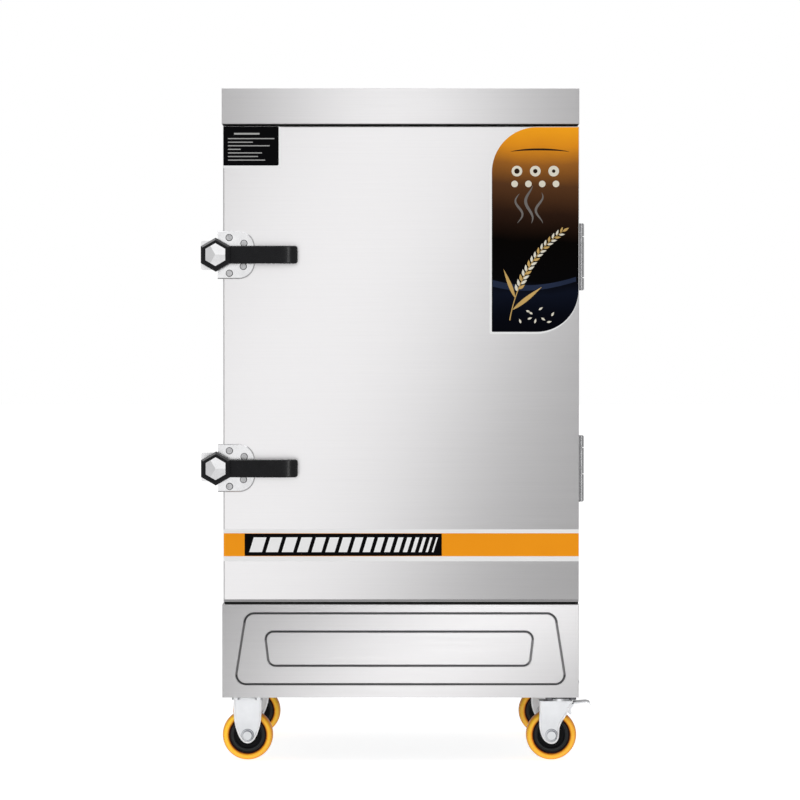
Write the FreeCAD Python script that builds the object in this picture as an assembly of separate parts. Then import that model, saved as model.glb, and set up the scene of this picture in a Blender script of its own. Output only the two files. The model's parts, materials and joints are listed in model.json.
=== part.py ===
import FreeCAD, Part
import math
import os

# Electric rice steamer: a single-door steam cabinet on casters.
# Millimetres. +X to the right seen from the front, +Y to the back, +Z up.
# The model is drawn about the cabinet's own centre line with the floor at z = 0,
# and moved by OFF_X, OFF_Y at the end, so that the origin is under the middle of the whole object.

V = FreeCAD.Vector

# ---- driving dimensions -------------------------------------------------
CAB_W = 700.0            # cabinet width
CAB_FRONT = -300.0       # front plane of the top band and the base
CAB_BACK = 300.0         # outer face of the rear panel
FACE_Y = -250.0          # plane of the door frame
SHEET = 1.2              # casing sheet
LINER = 1.0              # liner sheet
Z_BOTTOM = 131.0         # lower edge of the casing
Z_BASE_TOP = 314.0       # top of the base
Z_DOOR_0 = 322.5         # door, lower edge
Z_DOOR_1 = 1251.0        # door, upper edge
Z_BAND = 1256.0          # lower edge of the top band
Z_TOP = 1326.0           # top of the cabinet
DOOR_X0, DOOR_X1 = -347.0, 350.0
DOOR_FRONT, DOOR_BACK = -298.0, -254.0
CHAMBER_X = 312.0        # half width of the steam chamber
CHAMBER_BACK = 262.0
CHAMBER_Z0, CHAMBER_Z1 = 331.0, 1225.0
SILL_Z = 352.0           # lower edge of the door opening
HINGE_X, HINGE_Y = 356.0, -250.0
HINGE_R, HINGE_PIN_R = 6.0, 3.0
LATCH_X = -361.0         # axis of both latches
LATCH_Z = (1000.0, 582.3)
LATCH_SHAFT_R = 6.0
RUN = 0.06               # radial running clearance
HUB_FLATS = 57.4         # hexagonal latch hub across flats
HUB_Y0, HUB_Y1 = -309.0, -333.0
LEVER_LEN, LEVER_H, LEVER_TIP_R = 160.0, 34.8, 5.5
WHEEL_R, TYRE_IN_R, TYRE_W = 50.0, 37.0, 32.0
AXLE_R = 5.0
WHEEL_Y = (-220.0, 220.0)
RIGID_X = -303.0
SWIVEL_X, SWIVEL_AXLE_X = 317.0, 299.0
PLATE_Z0 = 127.5         # underside of the caster top plates
TRAY_N, TRAY_PITCH, TRAY_RIM_Z0 = 6, 130.0, 480.0
TRAY_W, TRAY_D, TRAY_H = 600.0, 400.0, 48.0
TRAY_Y = -5.0
OFF_X, OFF_Y = 8.0, -37.5

os.makedirs("parts", exist_ok=True)
SHAPES = {}


# ---- helpers ------------------------------------------------------------
def box(x0, x1, y0, y1, z0, z1):
    return Part.makeBox(x1 - x0, y1 - y0, z1 - z0, V(x0, y0, z0))


def cyl(x, y, z, axis, r, h):
    return Part.makeCylinder(r, h, V(x, y, z), V(*axis))


def fuse(*items):
    whole = items[0]
    if len(items) > 1:
        whole = items[0].multiFuse(list(items[1:]))
    return whole.removeSplitter()


def cut(body, *tools):
    return body.cut(tools[0] if len(tools) == 1 else Part.makeCompound(list(tools)))


def group(*items):
    return Part.makeCompound(list(items))


def node(name, shape):
    SHAPES[name] = shape


def rounded(points, radius):
    """Closed wire through 2-D points with its corners rounded; points are V in any plane."""
    edges, n, tips = [], len(points), []
    for i, p in enumerate(points):
        r = radius[i] if isinstance(radius, (list, tuple)) else radius
        a, b = points[i - 1] - p, points[(i + 1) % n] - p
        a.normalize()
        b.normalize()
        half = a.getAngle(b) / 2
        if r <= 0:
            tips.append((p, p, p))
            continue
        d = r / math.tan(half)
        mid = a + b
        mid.normalize()
        tips.append((p + a * d, p + mid * (r / math.sin(half) - r), p + b * d))
    for i in range(n):
        s, m, e = tips[i]
        if (s - e).Length > 1e-6:
            edges.append(Part.Arc(s, m, e).toShape())
        nxt = tips[(i + 1) % n][0]
        if (nxt - e).Length > 1e-6:
            edges.append(Part.LineSegment(e, nxt).toShape())
    return Part.Wire(edges)


def slab_y(wire, y0, y1):
    """Face of a wire drawn at y = 0 in the XZ plane, extruded from y0 to y1."""
    face = Part.Face(wire)
    face.translate(V(0, y0, 0))
    return face.extrude(V(0, y1 - y0, 0))


def hexagon(cx, cz, flats, y):
    """Pointed-top hexagon in the XZ plane."""
    r = flats / math.sqrt(3)
    return [V(cx + r * math.cos(math.radians(90 + 60 * k)), y, cz + r * math.sin(math.radians(90 + 60 * k))) for k in range(6)]


def prism(points, vec):
    return Part.Face(Part.makePolygon(points + [points[0]])).extrude(vec)


def hex_y(cx, y, cz, flats, h):
    return prism(hexagon(cx, cz, flats, y), V(0, h, 0))


def hex_z(cx, cy, z, flats, h):
    r = flats / math.sqrt(3)
    pts = [V(cx + r * math.cos(math.radians(60 * k)), cy + r * math.sin(math.radians(60 * k)), z) for k in range(6)]
    return prism(pts, V(0, 0, h))


def ring_y(cx, cz, y0, y1, r1, r0):
    return cyl(cx, y0, cz, (0, 1, 0), r1, y1 - y0).cut(cyl(cx, y0 - 1, cz, (0, 1, 0), r0, y1 - y0 + 2))


def ring_z(cx, cy, z0, z1, r1, r0):
    return cyl(cx, cy, z0, (0, 0, 1), r1, z1 - z0).cut(cyl(cx, cy, z0 - 1, (0, 0, 1), r0, z1 - z0 + 2))


def lathe_y(profile, cx, cy, cz):
    """Turned piece about an axle along Y: profile is (r, t) pairs, t along the axle."""
    pts = [V(cx + r, cy + t, cz) for r, t in profile]
    face = Part.Face(Part.makePolygon(pts + [pts[0]]))
    return face.revolve(V(cx, cy, cz), V(0, 1, 0), 360)


HW = CAB_W / 2
IN = HW - SHEET          # inner face of the side panels

# positions that several pieces share
LINK_X, LINK_Z, LINK_R = -200.0, 345.0, 10.0
VENT_X, VENT_Z, VENT_R = -200.0, 1190.0, 16.0
DRAIN_X, DRAIN_Y, DRAIN_Z, DRAIN_R, DRAIN_BEND = -200.0, 120.0, 230.0, 10.0, 40.0
HEATER_X = ((-50.0, 10.0), (70.0, 130.0), (190.0, 250.0))
HEATER_Z, HEATER_R = 345.0, 5.0
HOLE = 0.2               # radial room of a pipe in the sheets it passes


def pass_throughs(y0, y1):
    """Cutters for everything that runs through the rear wall."""
    h = y1 - y0
    out = [cyl(LINK_X, y0, LINK_Z, (0, 1, 0), LINK_R + HOLE, h), cyl(VENT_X, y0, VENT_Z, (0, 1, 0), VENT_R + HOLE, h)]
    for pair in HEATER_X:
        out += [cyl(x, y0, HEATER_Z, (0, 1, 0), HEATER_R + HOLE, h) for x in pair]
    return out


# ---- base ---------------------------------------------------------------
def base_frame():
    t, wall = 30.0, 1.5
    x1, y0, y1 = IN - 0.3, -296.0, 296.0
    z0, z1 = 137.0, 167.0
    solids = []
    for side in (-1, 1):
        xa, xb = (-x1, -x1 + t) if side < 0 else (x1 - t, x1)
        tube = box(xa, xb, y0, y1, z0, z1).cut(box(xa + wall, xb - wall, y0, y1, z0 + wall, z1 - wall))
        solids.append(tube)
        for ya, yb in ((y0, y0 + t), (y1 - t, y1)):
            post = box(xa, xb, ya, yb, z1, 312.8).cut(box(xa + wall, xb - wall, ya + wall, yb - wall, z1 - 1, 313))
            solids.append(post)
    for ya, yb in ((y0, y0 + t), (y1 - t, y1)):
        rail = box(-x1 + t, x1 - t, ya, yb, z0, z1).cut(box(-x1 + t - 1, x1 - t + 1, ya + wall, yb - wall, z0 + wall, z1 - wall))
        solids.append(rail)
    for sx in (-1, 1):
        for yc in WHEEL_Y:
            xa, xb = (-x1, -258.0) if sx < 0 else (258.0, x1)
            pad = box(xa, xb, yc - 60, min(yc + 60, 296.0), Z_BOTTOM, z0)
            cx = RIGID_X if sx < 0 else SWIVEL_X
            for dx, dy in CASTER_BOLTS:
                pad = pad.cut(cyl(cx + dx, yc + dy, Z_BOTTOM - 1, (0, 0, 1), 4.2, 20))
            solids.append(pad)
    deck = box(-IN, IN, -249.0, 298.8, 312.8, Z_BASE_TOP)
    deck = deck.cut(cyl(DRAIN_X, DRAIN_Y, 310, (0, 0, 1), DRAIN_R + HOLE, 10))
    solids.append(deck)
    return group(*solids)


CASTER_BOLTS = [(-23, -35), (23, -35), (-23, 35), (23, 35)]


def bead(outline, radius):
    """Pressed groove round a rounded outline: the ridge behind the sheet and the groove in front."""
    def ring(wide, narrow, ya, yb):
        solids = []
        for sign in (1, -1):
            a = rounded(outline, radius).makeOffset2D(sign * wide, 0, False, False, False)
            b = rounded(outline, radius).makeOffset2D(sign * narrow, 0, False, False, False)
            a.translate(V(0, ya, 0))
            b.translate(V(0, yb, 0))
            solids.append(Part.makeLoft([a, b], True, True))
        big, small = sorted(solids, key=lambda s: -s.Volume)
        return big.cut(small)
    groove = ring(2.8, 0.9, CAB_FRONT - 0.001, CAB_FRONT + 2.0)
    ridge = ring(4.2, 2.2, CAB_FRONT + 0.6, CAB_FRONT + 3.2)
    return groove, ridge


def base_front_panel():
    y0, y1 = CAB_FRONT, FACE_Y
    front = box(-HW, HW, y0, y0 + SHEET, Z_BOTTOM, Z_BASE_TOP)
    parts = [front,
             box(-HW, -IN, y0, y1, Z_BOTTOM, Z_BASE_TOP),
             box(IN, HW, y0, y1, Z_BOTTOM, Z_BASE_TOP),
             box(-HW, HW, y0, y1, Z_BASE_TOP - SHEET, Z_BASE_TOP),
             box(-HW, HW, y0, -297.0, Z_BOTTOM, Z_BOTTOM + SHEET)]
    body = fuse(*parts)
    edges = [e for e in body.Edges if e.BoundBox.YMax < y0 + 0.01 and
             (abs(e.BoundBox.XMax + HW) < 0.01 or abs(e.BoundBox.XMin - HW) < 0.01 or e.BoundBox.ZMin > Z_BASE_TOP - 0.01)]
    body = body.makeFillet(1.1, edges)
    outer = [V(-303.5, 0, 296.5), V(303.5, 0, 296.5), V(325.5, 0, 157.0), V(-325.5, 0, 157.0)]
    inner = [V(-266.5, 0, 260.6), V(261.5, 0, 260.6), V(253.8, 0, 193.4), V(-258.5, 0, 193.4)]
    for outline, rad in ((outer, 19.0), (inner, 15.0)):
        groove, ridge = bead(outline, rad)
        body = body.fuse(ridge).cut(groove)
    return body.removeSplitter()


# ---- casing -------------------------------------------------------------
def side_panel(side):
    x0, x1 = (-HW, -IN) if side < 0 else (IN, HW)
    sheet = box(x0, x1, FACE_Y, CAB_BACK, Z_BOTTOM, Z_TOP - SHEET)
    return sheet


def rear_panel():
    sheet = box(-IN, IN, CAB_BACK - SHEET, CAB_BACK, Z_BOTTOM, Z_TOP - SHEET)
    cutters = pass_throughs(CAB_BACK - 2, CAB_BACK + 1)
    cutters.append(cyl(DRAIN_X, CAB_BACK - 2, DRAIN_Z, (0, 1, 0), DRAIN_R + HOLE, 4))
    # cooling slots of the base and of the upper casing, in two blocks
    for zc in (180.0, 200.0, 220.0):
        for xc in (40.0, 120.0, 200.0, 280.0):
            w = rounded([V(xc - 28, 0, zc - 3), V(xc + 28, 0, zc - 3), V(xc + 28, 0, zc + 3), V(xc - 28, 0, zc + 3)], 2.9)
            cutters.append(slab_y(w, CAB_BACK - 2, CAB_BACK + 1))
    return cut(sheet, *cutters)


def top_panel():
    y0 = CAB_FRONT
    body = fuse(
        box(-HW, HW, y0, CAB_BACK, Z_TOP - SHEET, Z_TOP),
        box(-HW, HW, y0, y0 + SHEET, Z_BAND, Z_TOP),
        box(-HW, -IN, y0, FACE_Y, Z_BAND, Z_TOP),
        box(IN, HW, y0, FACE_Y, Z_BAND, Z_TOP),
        box(-HW, HW, y0, FACE_Y, Z_BAND, Z_BAND + SHEET),
    )
    edges = [e for e in body.Edges if e.BoundBox.YMax < y0 + 0.01 and
             (abs(e.BoundBox.XMax + HW) < 0.01 or abs(e.BoundBox.XMin - HW) < 0.01
              or e.BoundBox.ZMin > Z_TOP - 0.01 or e.BoundBox.ZMax < Z_BAND + 0.01)]
    return body.makeFillet(1.1, edges)


def inner_liner():
    x, b, t = CHAMBER_X, CHAMBER_BACK, LINER
    shell = box(-x - t, x + t, FACE_Y, b + t, CHAMBER_Z0 - t, CHAMBER_Z1 + t)
    shell = shell.cut(box(-x, x, FACE_Y + t, b, CHAMBER_Z0, CHAMBER_Z1))
    flange = box(-IN, IN, FACE_Y, FACE_Y + t, Z_BASE_TOP, Z_BAND)
    body = fuse(shell, flange).cut(box(-x, x, FACE_Y - 1, FACE_Y + 5, SILL_Z, CHAMBER_Z1))
    body = cut(body, *pass_throughs(b - 1, b + t + 1),
               cyl(DRAIN_X, DRAIN_Y, CHAMBER_Z0 - 5, (0, 0, 1), DRAIN_R + HOLE, 10))
    return body


def body_insulation():
    y0, y1, zl0, zl1 = FACE_Y + LINER, CAB_BACK - SHEET, CHAMBER_Z0 - LINER, CHAMBER_Z1 + LINER
    xw, xi = IN, CHAMBER_X + LINER
    left = box(-xw, -xi, y0, y1, zl0, zl1)
    right = box(xi, xw, y0, y1, zl0, zl1)
    roof = box(-xw, xw, y0, y1, zl1, Z_TOP - SHEET)
    roof = roof.cut(box(-xw, xw, y0 - 1, FACE_Y + 5, Z_BAND, Z_TOP))
    back = cut(box(-xi, xi, CHAMBER_BACK + LINER, y1, zl0, zl1), *pass_throughs(CHAMBER_BACK, y1 + 1))
    floor = box(-xw, xw, y0, y1, Z_BASE_TOP, zl0).cut(cyl(DRAIN_X, DRAIN_Y, 300, (0, 0, 1), DRAIN_R + HOLE, 40))
    return group(left, right, roof, back, floor)


# ---- racks and trays ----------------------------------------------------
def tray_racks():
    solids = []
    for side in (-1, 1):
        def sx(a, b):
            return (side * a, side * b) if side > 0 else (-b, -a)
        for yc in (-175.0, 165.0):
            xa, xb = sx(306.0, 312.0)
            solids.append(box(xa, xb, yc - 12, yc + 12, 404.0, 1180.0))
        for k in range(TRAY_N):
            z = TRAY_RIM_Z0 + k * TRAY_PITCH - 1.2     # top of the runner
            xa, xb = sx(291.5, 306.0)
            xc, xd = sx(304.5, 306.0)
            runner = fuse(box(xa, xb, -212.0, 202.0, z - 1.5, z), box(xc, xd, -212.0, 202.0, z - 18.0, z))
            solids.append(runner)
    return group(*solids)


def tray(k):
    ztop = TRAY_RIM_Z0 + k * TRAY_PITCH
    z0 = ztop - TRAY_H
    hx, hy = TRAY_W / 2 - 10, TRAY_D / 2 - 10

    def pan(gx, gy, za, zb, r):
        w = rounded([V(-gx, TRAY_Y - gy, za), V(gx, TRAY_Y - gy, za), V(gx, TRAY_Y + gy, za), V(-gx, TRAY_Y + gy, za)], r)
        return Part.Face(w).extrude(V(0, 0, zb - za))
    rim = pan(TRAY_W / 2, TRAY_D / 2, ztop - 1.0, ztop, 14)
    ring = pan(hx, hy, z0, ztop, 9).fuse(rim).cut(pan(hx - 1, hy - 1, z0 - 1, ztop + 1, 8)).removeSplitter()
    floor = pan(hx - 1, hy - 1, z0, z0 + 1, 8)
    # four folded walls, four corner pieces and a floor sheet, all welded together
    cx, cy = hx - 9, hy - 9
    spans_x, spans_y = ((-hx - 20, -cx), (-cx, cx), (cx, hx + 20)), ((-hy - 20, -cy), (-cy, cy), (cy, hy + 20))
    walls = [ring.common(box(xa, xb, TRAY_Y + ya, TRAY_Y + yb, z0 - 1, ztop + 1))
             for i, (xa, xb) in enumerate(spans_x) for j, (ya, yb) in enumerate(spans_y) if i != 1 or j != 1]
    return group(floor, *walls)


# ---- water system -------------------------------------------------------
def water_tank():
    z0, z1 = CHAMBER_Z0, 400.0
    sheets = [box(-300, 300, -238, 250, z0, z0 + 1),   # five sheets, welded along their edges
              box(-300, 300, -238, -237, z0 + 1, z1), box(-300, 300, 249, 250, z0 + 1, z1),
              box(-300, -299, -237, 249, z0 + 1, z1), box(299, 300, -237, 249, z0 + 1, z1)]
    cutters = [cyl(LINK_X, 240, LINK_Z, (0, 1, 0), LINK_R + HOLE, 20),
               cyl(DRAIN_X, DRAIN_Y, z0 - 2, (0, 0, 1), DRAIN_R + HOLE, 6)]
    for pair in HEATER_X:
        cutters += [cyl(x, 240, HEATER_Z, (0, 1, 0), HEATER_R + HOLE, 20) for x in pair]
    return group(*[cut(sheet, *cutters) for sheet in sheets])


def baffle_plate():
    sheet = fuse(box(-305, 305, -243, 255, 400.0, 401.2), box(-305, 305, -243, -241.8, 392, 400.6), box(-305, 305, 253.8, 255, 392, 400.6))
    slots = []
    for i in range(7):
        for j in range(9):
            xc, yc = -252 + i * 84, -200 + j * 51.5
            slots.append(box(xc - 30, xc + 30, yc - 6, yc + 6, 399, 403))
    return cut(sheet, *slots)


def heating_elements():
    solids = []
    for xa, xb in HEATER_X:
        r, mid = (xb - xa) / 2, (xa + xb) / 2
        bend_y = -170.0
        legs = [cyl(x, bend_y, HEATER_Z, (0, 1, 0), HEATER_R, 318.0 - bend_y) for x in (xa, xb)]
        disc = Part.Face(Part.Wire(Part.makeCircle(HEATER_R, V(xb, bend_y, HEATER_Z), V(0, 1, 0))))
        half = disc.revolve(V(mid, bend_y, HEATER_Z), V(0, 0, 1), -180)
        nuts = [hex_y(x, 243.0, HEATER_Z, 17.0, 5.9) for x in (xa, xb)]
        studs = [cyl(x, 318.0, HEATER_Z, (0, 1, 0), 2.0, 12) for x in (xa, xb)]
        solids.append(fuse(*legs, half, *nuts, *studs))
    return group(*solids)


def water_pipes():
    link = cyl(LINK_X, 246.0, LINK_Z, (0, 1, 0), LINK_R, 58.0).cut(cyl(LINK_X, 240, LINK_Z, (0, 1, 0), LINK_R - 1.4, 80))
    r0, r1, b = DRAIN_R - 1.4, DRAIN_R, DRAIN_BEND
    zc = DRAIN_Z + b
    drop = ring_z(DRAIN_X, DRAIN_Y, zc, CHAMBER_Z0 + 4, r1, r0)
    run = ring_y(DRAIN_X, DRAIN_Z, DRAIN_Y + b, 318.0, r1, r0)
    ring = Part.Face(Part.Wire(Part.makeCircle(r1, V(DRAIN_X, DRAIN_Y, zc), V(0, 0, 1))))
    hole = Part.Face(Part.Wire(Part.makeCircle(r0, V(DRAIN_X, DRAIN_Y, zc), V(0, 0, 1))))
    elbow = ring.revolve(V(DRAIN_X, DRAIN_Y + b, zc), V(1, 0, 0), 90).cut(
        hole.revolve(V(DRAIN_X, DRAIN_Y + b, zc), V(1, 0, 0), 90))
    return group(link, fuse(drop, elbow, run))


FEED_X0, FEED_X1, FEED_Y1, FEED_Z0, FEED_Z1 = -310.0, -110.0, 396.0, 320.0, 452.0
FLOAT_PIVOT = (-269.0, 345.0, 421.0)
INLET_X, INLET_Z = -284.0, 421.0


def feed_tank():
    s = 1.2
    body = box(FEED_X0, FEED_X1, CAB_BACK, FEED_Y1, FEED_Z0, FEED_Z1).cut(
        box(FEED_X0 + s, FEED_X1 - s, CAB_BACK + s, FEED_Y1 - s, FEED_Z0 + s, FEED_Z1 + 1))
    return cut(body, cyl(LINK_X, 290, LINK_Z, (0, 1, 0), LINK_R + HOLE, 20),
               cyl(INLET_X, 380, INLET_Z, (0, 1, 0), 10.65, 30))


def feed_tank_lid():
    g = 0.4
    x0, x1, y0, y1 = FEED_X0 - g - 1.2, FEED_X1 + g + 1.2, CAB_BACK + 0.6, FEED_Y1 + g + 1.2
    lid = box(x0, x1, y0, y1, FEED_Z1 - 12, FEED_Z1 + 1.4).cut(
        box(x0 + 1.2, x1 - 1.2, y0 - 1, y1 - 1.2, FEED_Z1 - 13, FEED_Z1 + 0.2))
    xm = (x0 + x1) / 2
    grip = box(xm - 30, xm + 30, 345, 350, FEED_Z1 + 1.0, FEED_Z1 + 14)
    grip = grip.makeFillet(2.2, [e for e in grip.Edges if e.BoundBox.ZMin > FEED_Z1 + 13.9])
    return fuse(lid, grip)


def float_valve():
    x, z = INLET_X, INLET_Z
    thread = cyl(x, 380.0, z, (0, 1, 0), 10.45, 34.0)
    body = fuse(
        thread,
        cyl(x, 333.0, z, (0, 1, 0), 9.0, 48.0),
        hex_y(x, FEED_Y1 - 1.2 - 6.0, z, 27.0, 6.0),
        box(x + 6.0, x + 21.0, 336.0, 341.5, z - 5, z + 5),
        box(x + 6.0, x + 21.0, 348.5, 354.0, z - 5, z + 5),
    )
    nut = hex_y(x, FEED_Y1, z, 27.0, 6.0)
    body = fuse(body, nut)
    bore = cyl(x, 350.0, z, (0, 1, 0), 6.5, 70)
    px, _, pz = FLOAT_PIVOT
    return cut(body, bore, cyl(px, 330, pz, (0, 1, 0), 2.0 + RUN, 30))


def float_arm():
    px, py, pz = FLOAT_PIVOT
    pin = cyl(px, 335.0, pz, (0, 1, 0), 2.0, 20.0)
    eye = cyl(px, 342.5, pz, (0, 1, 0), 4.5, 5.0)
    bx, bz = -160.0, 394.0
    rod = cyl(px, py, pz, (bx - px, 0, bz - pz), 2.2, math.hypot(bx - px, bz - pz))
    ball = Part.makeSphere(25.0, V(bx, py, bz))
    return fuse(pin, eye, rod, ball)


def drain_valve():
    x, z = DRAIN_X, DRAIN_Z
    body = fuse(
        hex_y(x, 306.0, z, 32.0, 14.0),
        cyl(x, 320.0, z, (0, 1, 0), 17.0, 24.0),
        hex_y(x, 344.0, z, 32.0, 12.0),
        cyl(x, 356.0, z, (0, 1, 0), 10.45, 18.0),
        cyl(x, 332.0, z + 10, (0, 0, 1), 8.0, 14.0),
    )
    stem = cyl(x, 332.0, z + 24, (0, 0, 1), 4.0, 9.0)
    pocket = cyl(x, 300.0, z, (0, 1, 0), DRAIN_R + HOLE, 18.0)
    bore = cyl(x, 300.0, z, (0, 1, 0), 7.0, 80.0)
    return cut(fuse(body, stem), pocket, bore)


def drain_lever():
    x, z = DRAIN_X, DRAIN_Z + 24.3
    arm = box(x - 9, x + 86, 324.0, 340.0, z, z + 3.0)
    arm = arm.makeFillet(7.5, [e for e in arm.Edges if e.Length < 3.01 and abs(e.BoundBox.ZLength - 3.0) < 0.01])
    sleeve = box(x + 40, x + 90, 321.5, 342.5, z - 1.0, z + 4.0)
    sleeve = sleeve.makeFillet(2.0, [e for e in sleeve.Edges if e.BoundBox.XLength > 45])
    return cut(fuse(arm, sleeve), cyl(x, 332.0, z - 2, (0, 0, 1), 4.0 + RUN, 8))


def vent_pipe():
    pipe = ring_y(VENT_X, VENT_Z, CHAMBER_BACK - 3, 345.0, VENT_R, VENT_R - 1.5)
    collar = ring_y(VENT_X, VENT_Z, CAB_BACK, CAB_BACK + 3.0, VENT_R + 12, VENT_R - 0.5)
    return fuse(pipe, collar)


# ---- control box --------------------------------------------------------
CB_X0, CB_X1, CB_Y1, CB_Z0, CB_Z1 = -80.0, 290.0, 380.0, 322.0, 560.0
SWITCH = (30.0, 470.0)
KNOB = (180.0, 470.0)
LAMPS = ((90.0, 470.0), (120.0, 470.0))
GLAND = (250.0, 344.0)


def control_box():
    s = 1.2
    body = box(CB_X0, CB_X1, CAB_BACK, CB_Y1, CB_Z0, CB_Z1).cut(
        box(CB_X0 + s, CB_X1 - s, CAB_BACK + s, CB_Y1 + 1, CB_Z0 + s, CB_Z1 - s))
    cutters = [cyl(GLAND[0], GLAND[1], CB_Z0 - 2, (0, 0, 1), 10.2, 6)]
    for pair in HEATER_X:
        cutters += [cyl(x, 299, HEATER_Z, (0, 1, 0), HEATER_R + HOLE, 4) for x in pair]
    return cut(body, *cutters)


def control_cover():
    g = 0.3
    x0, x1, z0, z1 = CB_X0 - g - 1.2, CB_X1 + g + 1.2, CB_Z0 - g - 1.2, CB_Z1 + g + 1.2
    y0, y1 = CB_Y1 - 14, CB_Y1 + 1.5
    body = box(x0, x1, y0, y1, z0, z1).cut(box(x0 + 1.2, x1 - 1.2, y0 - 1, CB_Y1 + 0.3, z0 + 1.2, z1 - 1.2))
    edges = [e for e in body.Edges if e.BoundBox.YMin > y1 - 0.01]
    body = body.makeFillet(1.0, edges)
    sx, sz = SWITCH
    cutters = [box(sx - 14.0, sx + 14.0, y0, y1 + 2, sz - 12.5, sz + 12.5),
               cyl(KNOB[0], CB_Y1 - 3, KNOB[1], (0, 1, 0), 4.0, 10)]
    cutters += [cyl(x, CB_Y1 - 3, z, (0, 1, 0), 6.2, 10) for x, z in LAMPS]
    body = cut(body, *cutters)
    bezel = box(sx - 16.5, sx + 16.5, y1, y1 + 2.0, sz - 15.0, sz + 15.0).cut(
        box(sx - 14.0, sx + 14.0, y1 - 1, y1 + 3, sz - 12.5, sz + 12.5))
    # a vane of louvres in the lower half
    slots = []
    for k in range(6):
        zc = 350.0 + 11 * k
        slots.append(box(-30, 60, y0 + 10, y1 + 1, zc, zc + 4))
        slots.append(box(110, 200, y0 + 10, y1 + 1, zc, zc + 4))
    return cut(fuse(body, bezel), *slots)


def control_electrics():
    contactor = fuse(box(-60, 15, 302, 355, 480, 545), box(-52, 7, 355, 363, 490, 535))
    strip = fuse(box(60, 240, 301.2, 313, 395, 412), *[box(66 + 22 * k, 82 + 22 * k, 313, 323, 397, 410) for k in range(8)])
    lamps = []
    for x, z in LAMPS:
        lamps.append(fuse(cyl(x, 360.0, z, (0, 1, 0), 6.0, 22.5), cyl(x, CB_Y1 + 1.5, z, (0, 1, 0), 8.0, 2.5),
                          cyl(x, CB_Y1 + 4.0, z, (0, 1, 0), 6.0, 4.0)))
    pot = fuse(cyl(KNOB[0], 352.0, KNOB[1], (0, 1, 0), 14.0, 28.0), ring_y(KNOB[0], KNOB[1], 380.0, 381.4, 3.9, 3.0 + RUN))
    pot = pot.cut(cyl(KNOB[0], 365.0, KNOB[1], (0, 1, 0), 3.0 + RUN, 40))
    return group(contactor, strip, pot, *lamps)


def power_switch():
    sx, sz = SWITCH
    y = CB_Y1 + 1.5
    pts = [V(sx - 13, y - 8, sz - 7.5), V(sx - 13, y - 1.5, sz - 9.6), V(sx - 13, y + 5.0, sz - 9.6), V(sx - 13, y + 1.6, sz + 1.5),
           V(sx - 13, y + 1.6, sz + 9.6), V(sx - 13, y - 1.5, sz + 9.6), V(sx - 13, y - 8, sz + 7.5)]
    rocker = prism(pts, V(26, 0, 0))
    return rocker


def timer_knob():
    x, z = KNOB
    y = CB_Y1 + 2.0
    skirt = cyl(x, y, z, (0, 1, 0), 19.0, 3.0)
    body = cyl(x, y + 3.0, z, (0, 1, 0), 14.5, 14.0)
    flutes = [cyl(x + 16.2 * math.cos(math.radians(a)), y + 3.0, z + 16.2 * math.sin(math.radians(a)), (0, 1, 0), 3.2, 15) for a in range(0, 360, 30)]
    body = cut(body, *flutes)
    pointer = box(x - 1.6, x + 1.6, y + 1.0, y + 18.0, z + 4.0, z + 17.5)
    spindle = cyl(x, 368.0, z, (0, 1, 0), 3.0, y - 367.0)
    return fuse(skirt, body, pointer, spindle)


def cable_gland():
    x, y = GLAND
    body = fuse(cyl(x, y, CB_Z0 - 9.0, (0, 0, 1), 10.0, 24.0), hex_z(x, y, CB_Z0 - 9.0, 27.0, 9.0),
                cyl(x, y, CB_Z0 - 26.0, (0, 0, 1), 11.5, 17.0), hex_z(x, y, CB_Z0 + 1.2, 26.0, 5.0))
    return body.cut(cyl(x, y, CB_Z0 - 30.0, (0, 0, 1), 6.5, 60))


# ---- door ---------------------------------------------------------------
def door_outer_skin():
    s = SHEET
    body = box(DOOR_X0, DOOR_X1, DOOR_FRONT, DOOR_BACK, Z_DOOR_0, Z_DOOR_1)
    edges = [e for e in body.Edges if e.BoundBox.YMax < DOOR_FRONT + 0.01]
    body = body.makeFillet(2.0, edges)
    return body.cut(box(DOOR_X0 + s, DOOR_X1 - s, DOOR_FRONT + s, DOOR_BACK + 1, Z_DOOR_0 + s, Z_DOOR_1 - s))


def door_inner_skin():
    s = SHEET
    plate = box(DOOR_X0 + s, DOOR_X1 - s, DOOR_BACK - 1.0, DOOR_BACK, Z_DOOR_0 + s, Z_DOOR_1 - s)
    w = rounded([V(-306, 0, 361), V(306, 0, 361), V(306, 0, 1215), V(-306, 0, 1215)], 14.0)
    wi = rounded([V(-305, 0, 362), V(305, 0, 362), V(305, 0, 1214), V(-305, 0, 1214)], 13.0)
    raised = slab_y(w, DOOR_BACK - 0.5, DOOR_BACK + 8.0)
    hollow = slab_y(wi, DOOR_BACK - 2.0, DOOR_BACK + 7.0)
    return plate.fuse(raised).cut(hollow).removeSplitter()


def door_insulation():
    s = SHEET
    slab = box(DOOR_X0 + s, DOOR_X1 - s, DOOR_FRONT + s, DOOR_BACK - 1.0, Z_DOOR_0 + s, Z_DOOR_1 - s)
    return slab


def door_gasket():
    outer = rounded([V(-336, 0, 332), V(338, 0, 332), V(338, 0, 1242), V(-336, 0, 1242)], 18.0)
    inner = rounded([V(-316, 0, 352), V(318, 0, 352), V(318, 0, 1222), V(-316, 0, 1222)], 6.0)
    ring = slab_y(outer, DOOR_BACK, FACE_Y - 0.3).cut(slab_y(inner, DOOR_BACK - 1, FACE_Y + 1))
    sweep = box(DOOR_X0 + 1.0, DOOR_X1 - 1.0, DOOR_FRONT + 1.5, DOOR_BACK - 3.0, 315.6, Z_DOOR_0)
    return group(ring, sweep)


# ---- latches ------------------------------------------------------------
PLATE_BACK, PLATE_FRONT = DOOR_FRONT, -303.0


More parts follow.
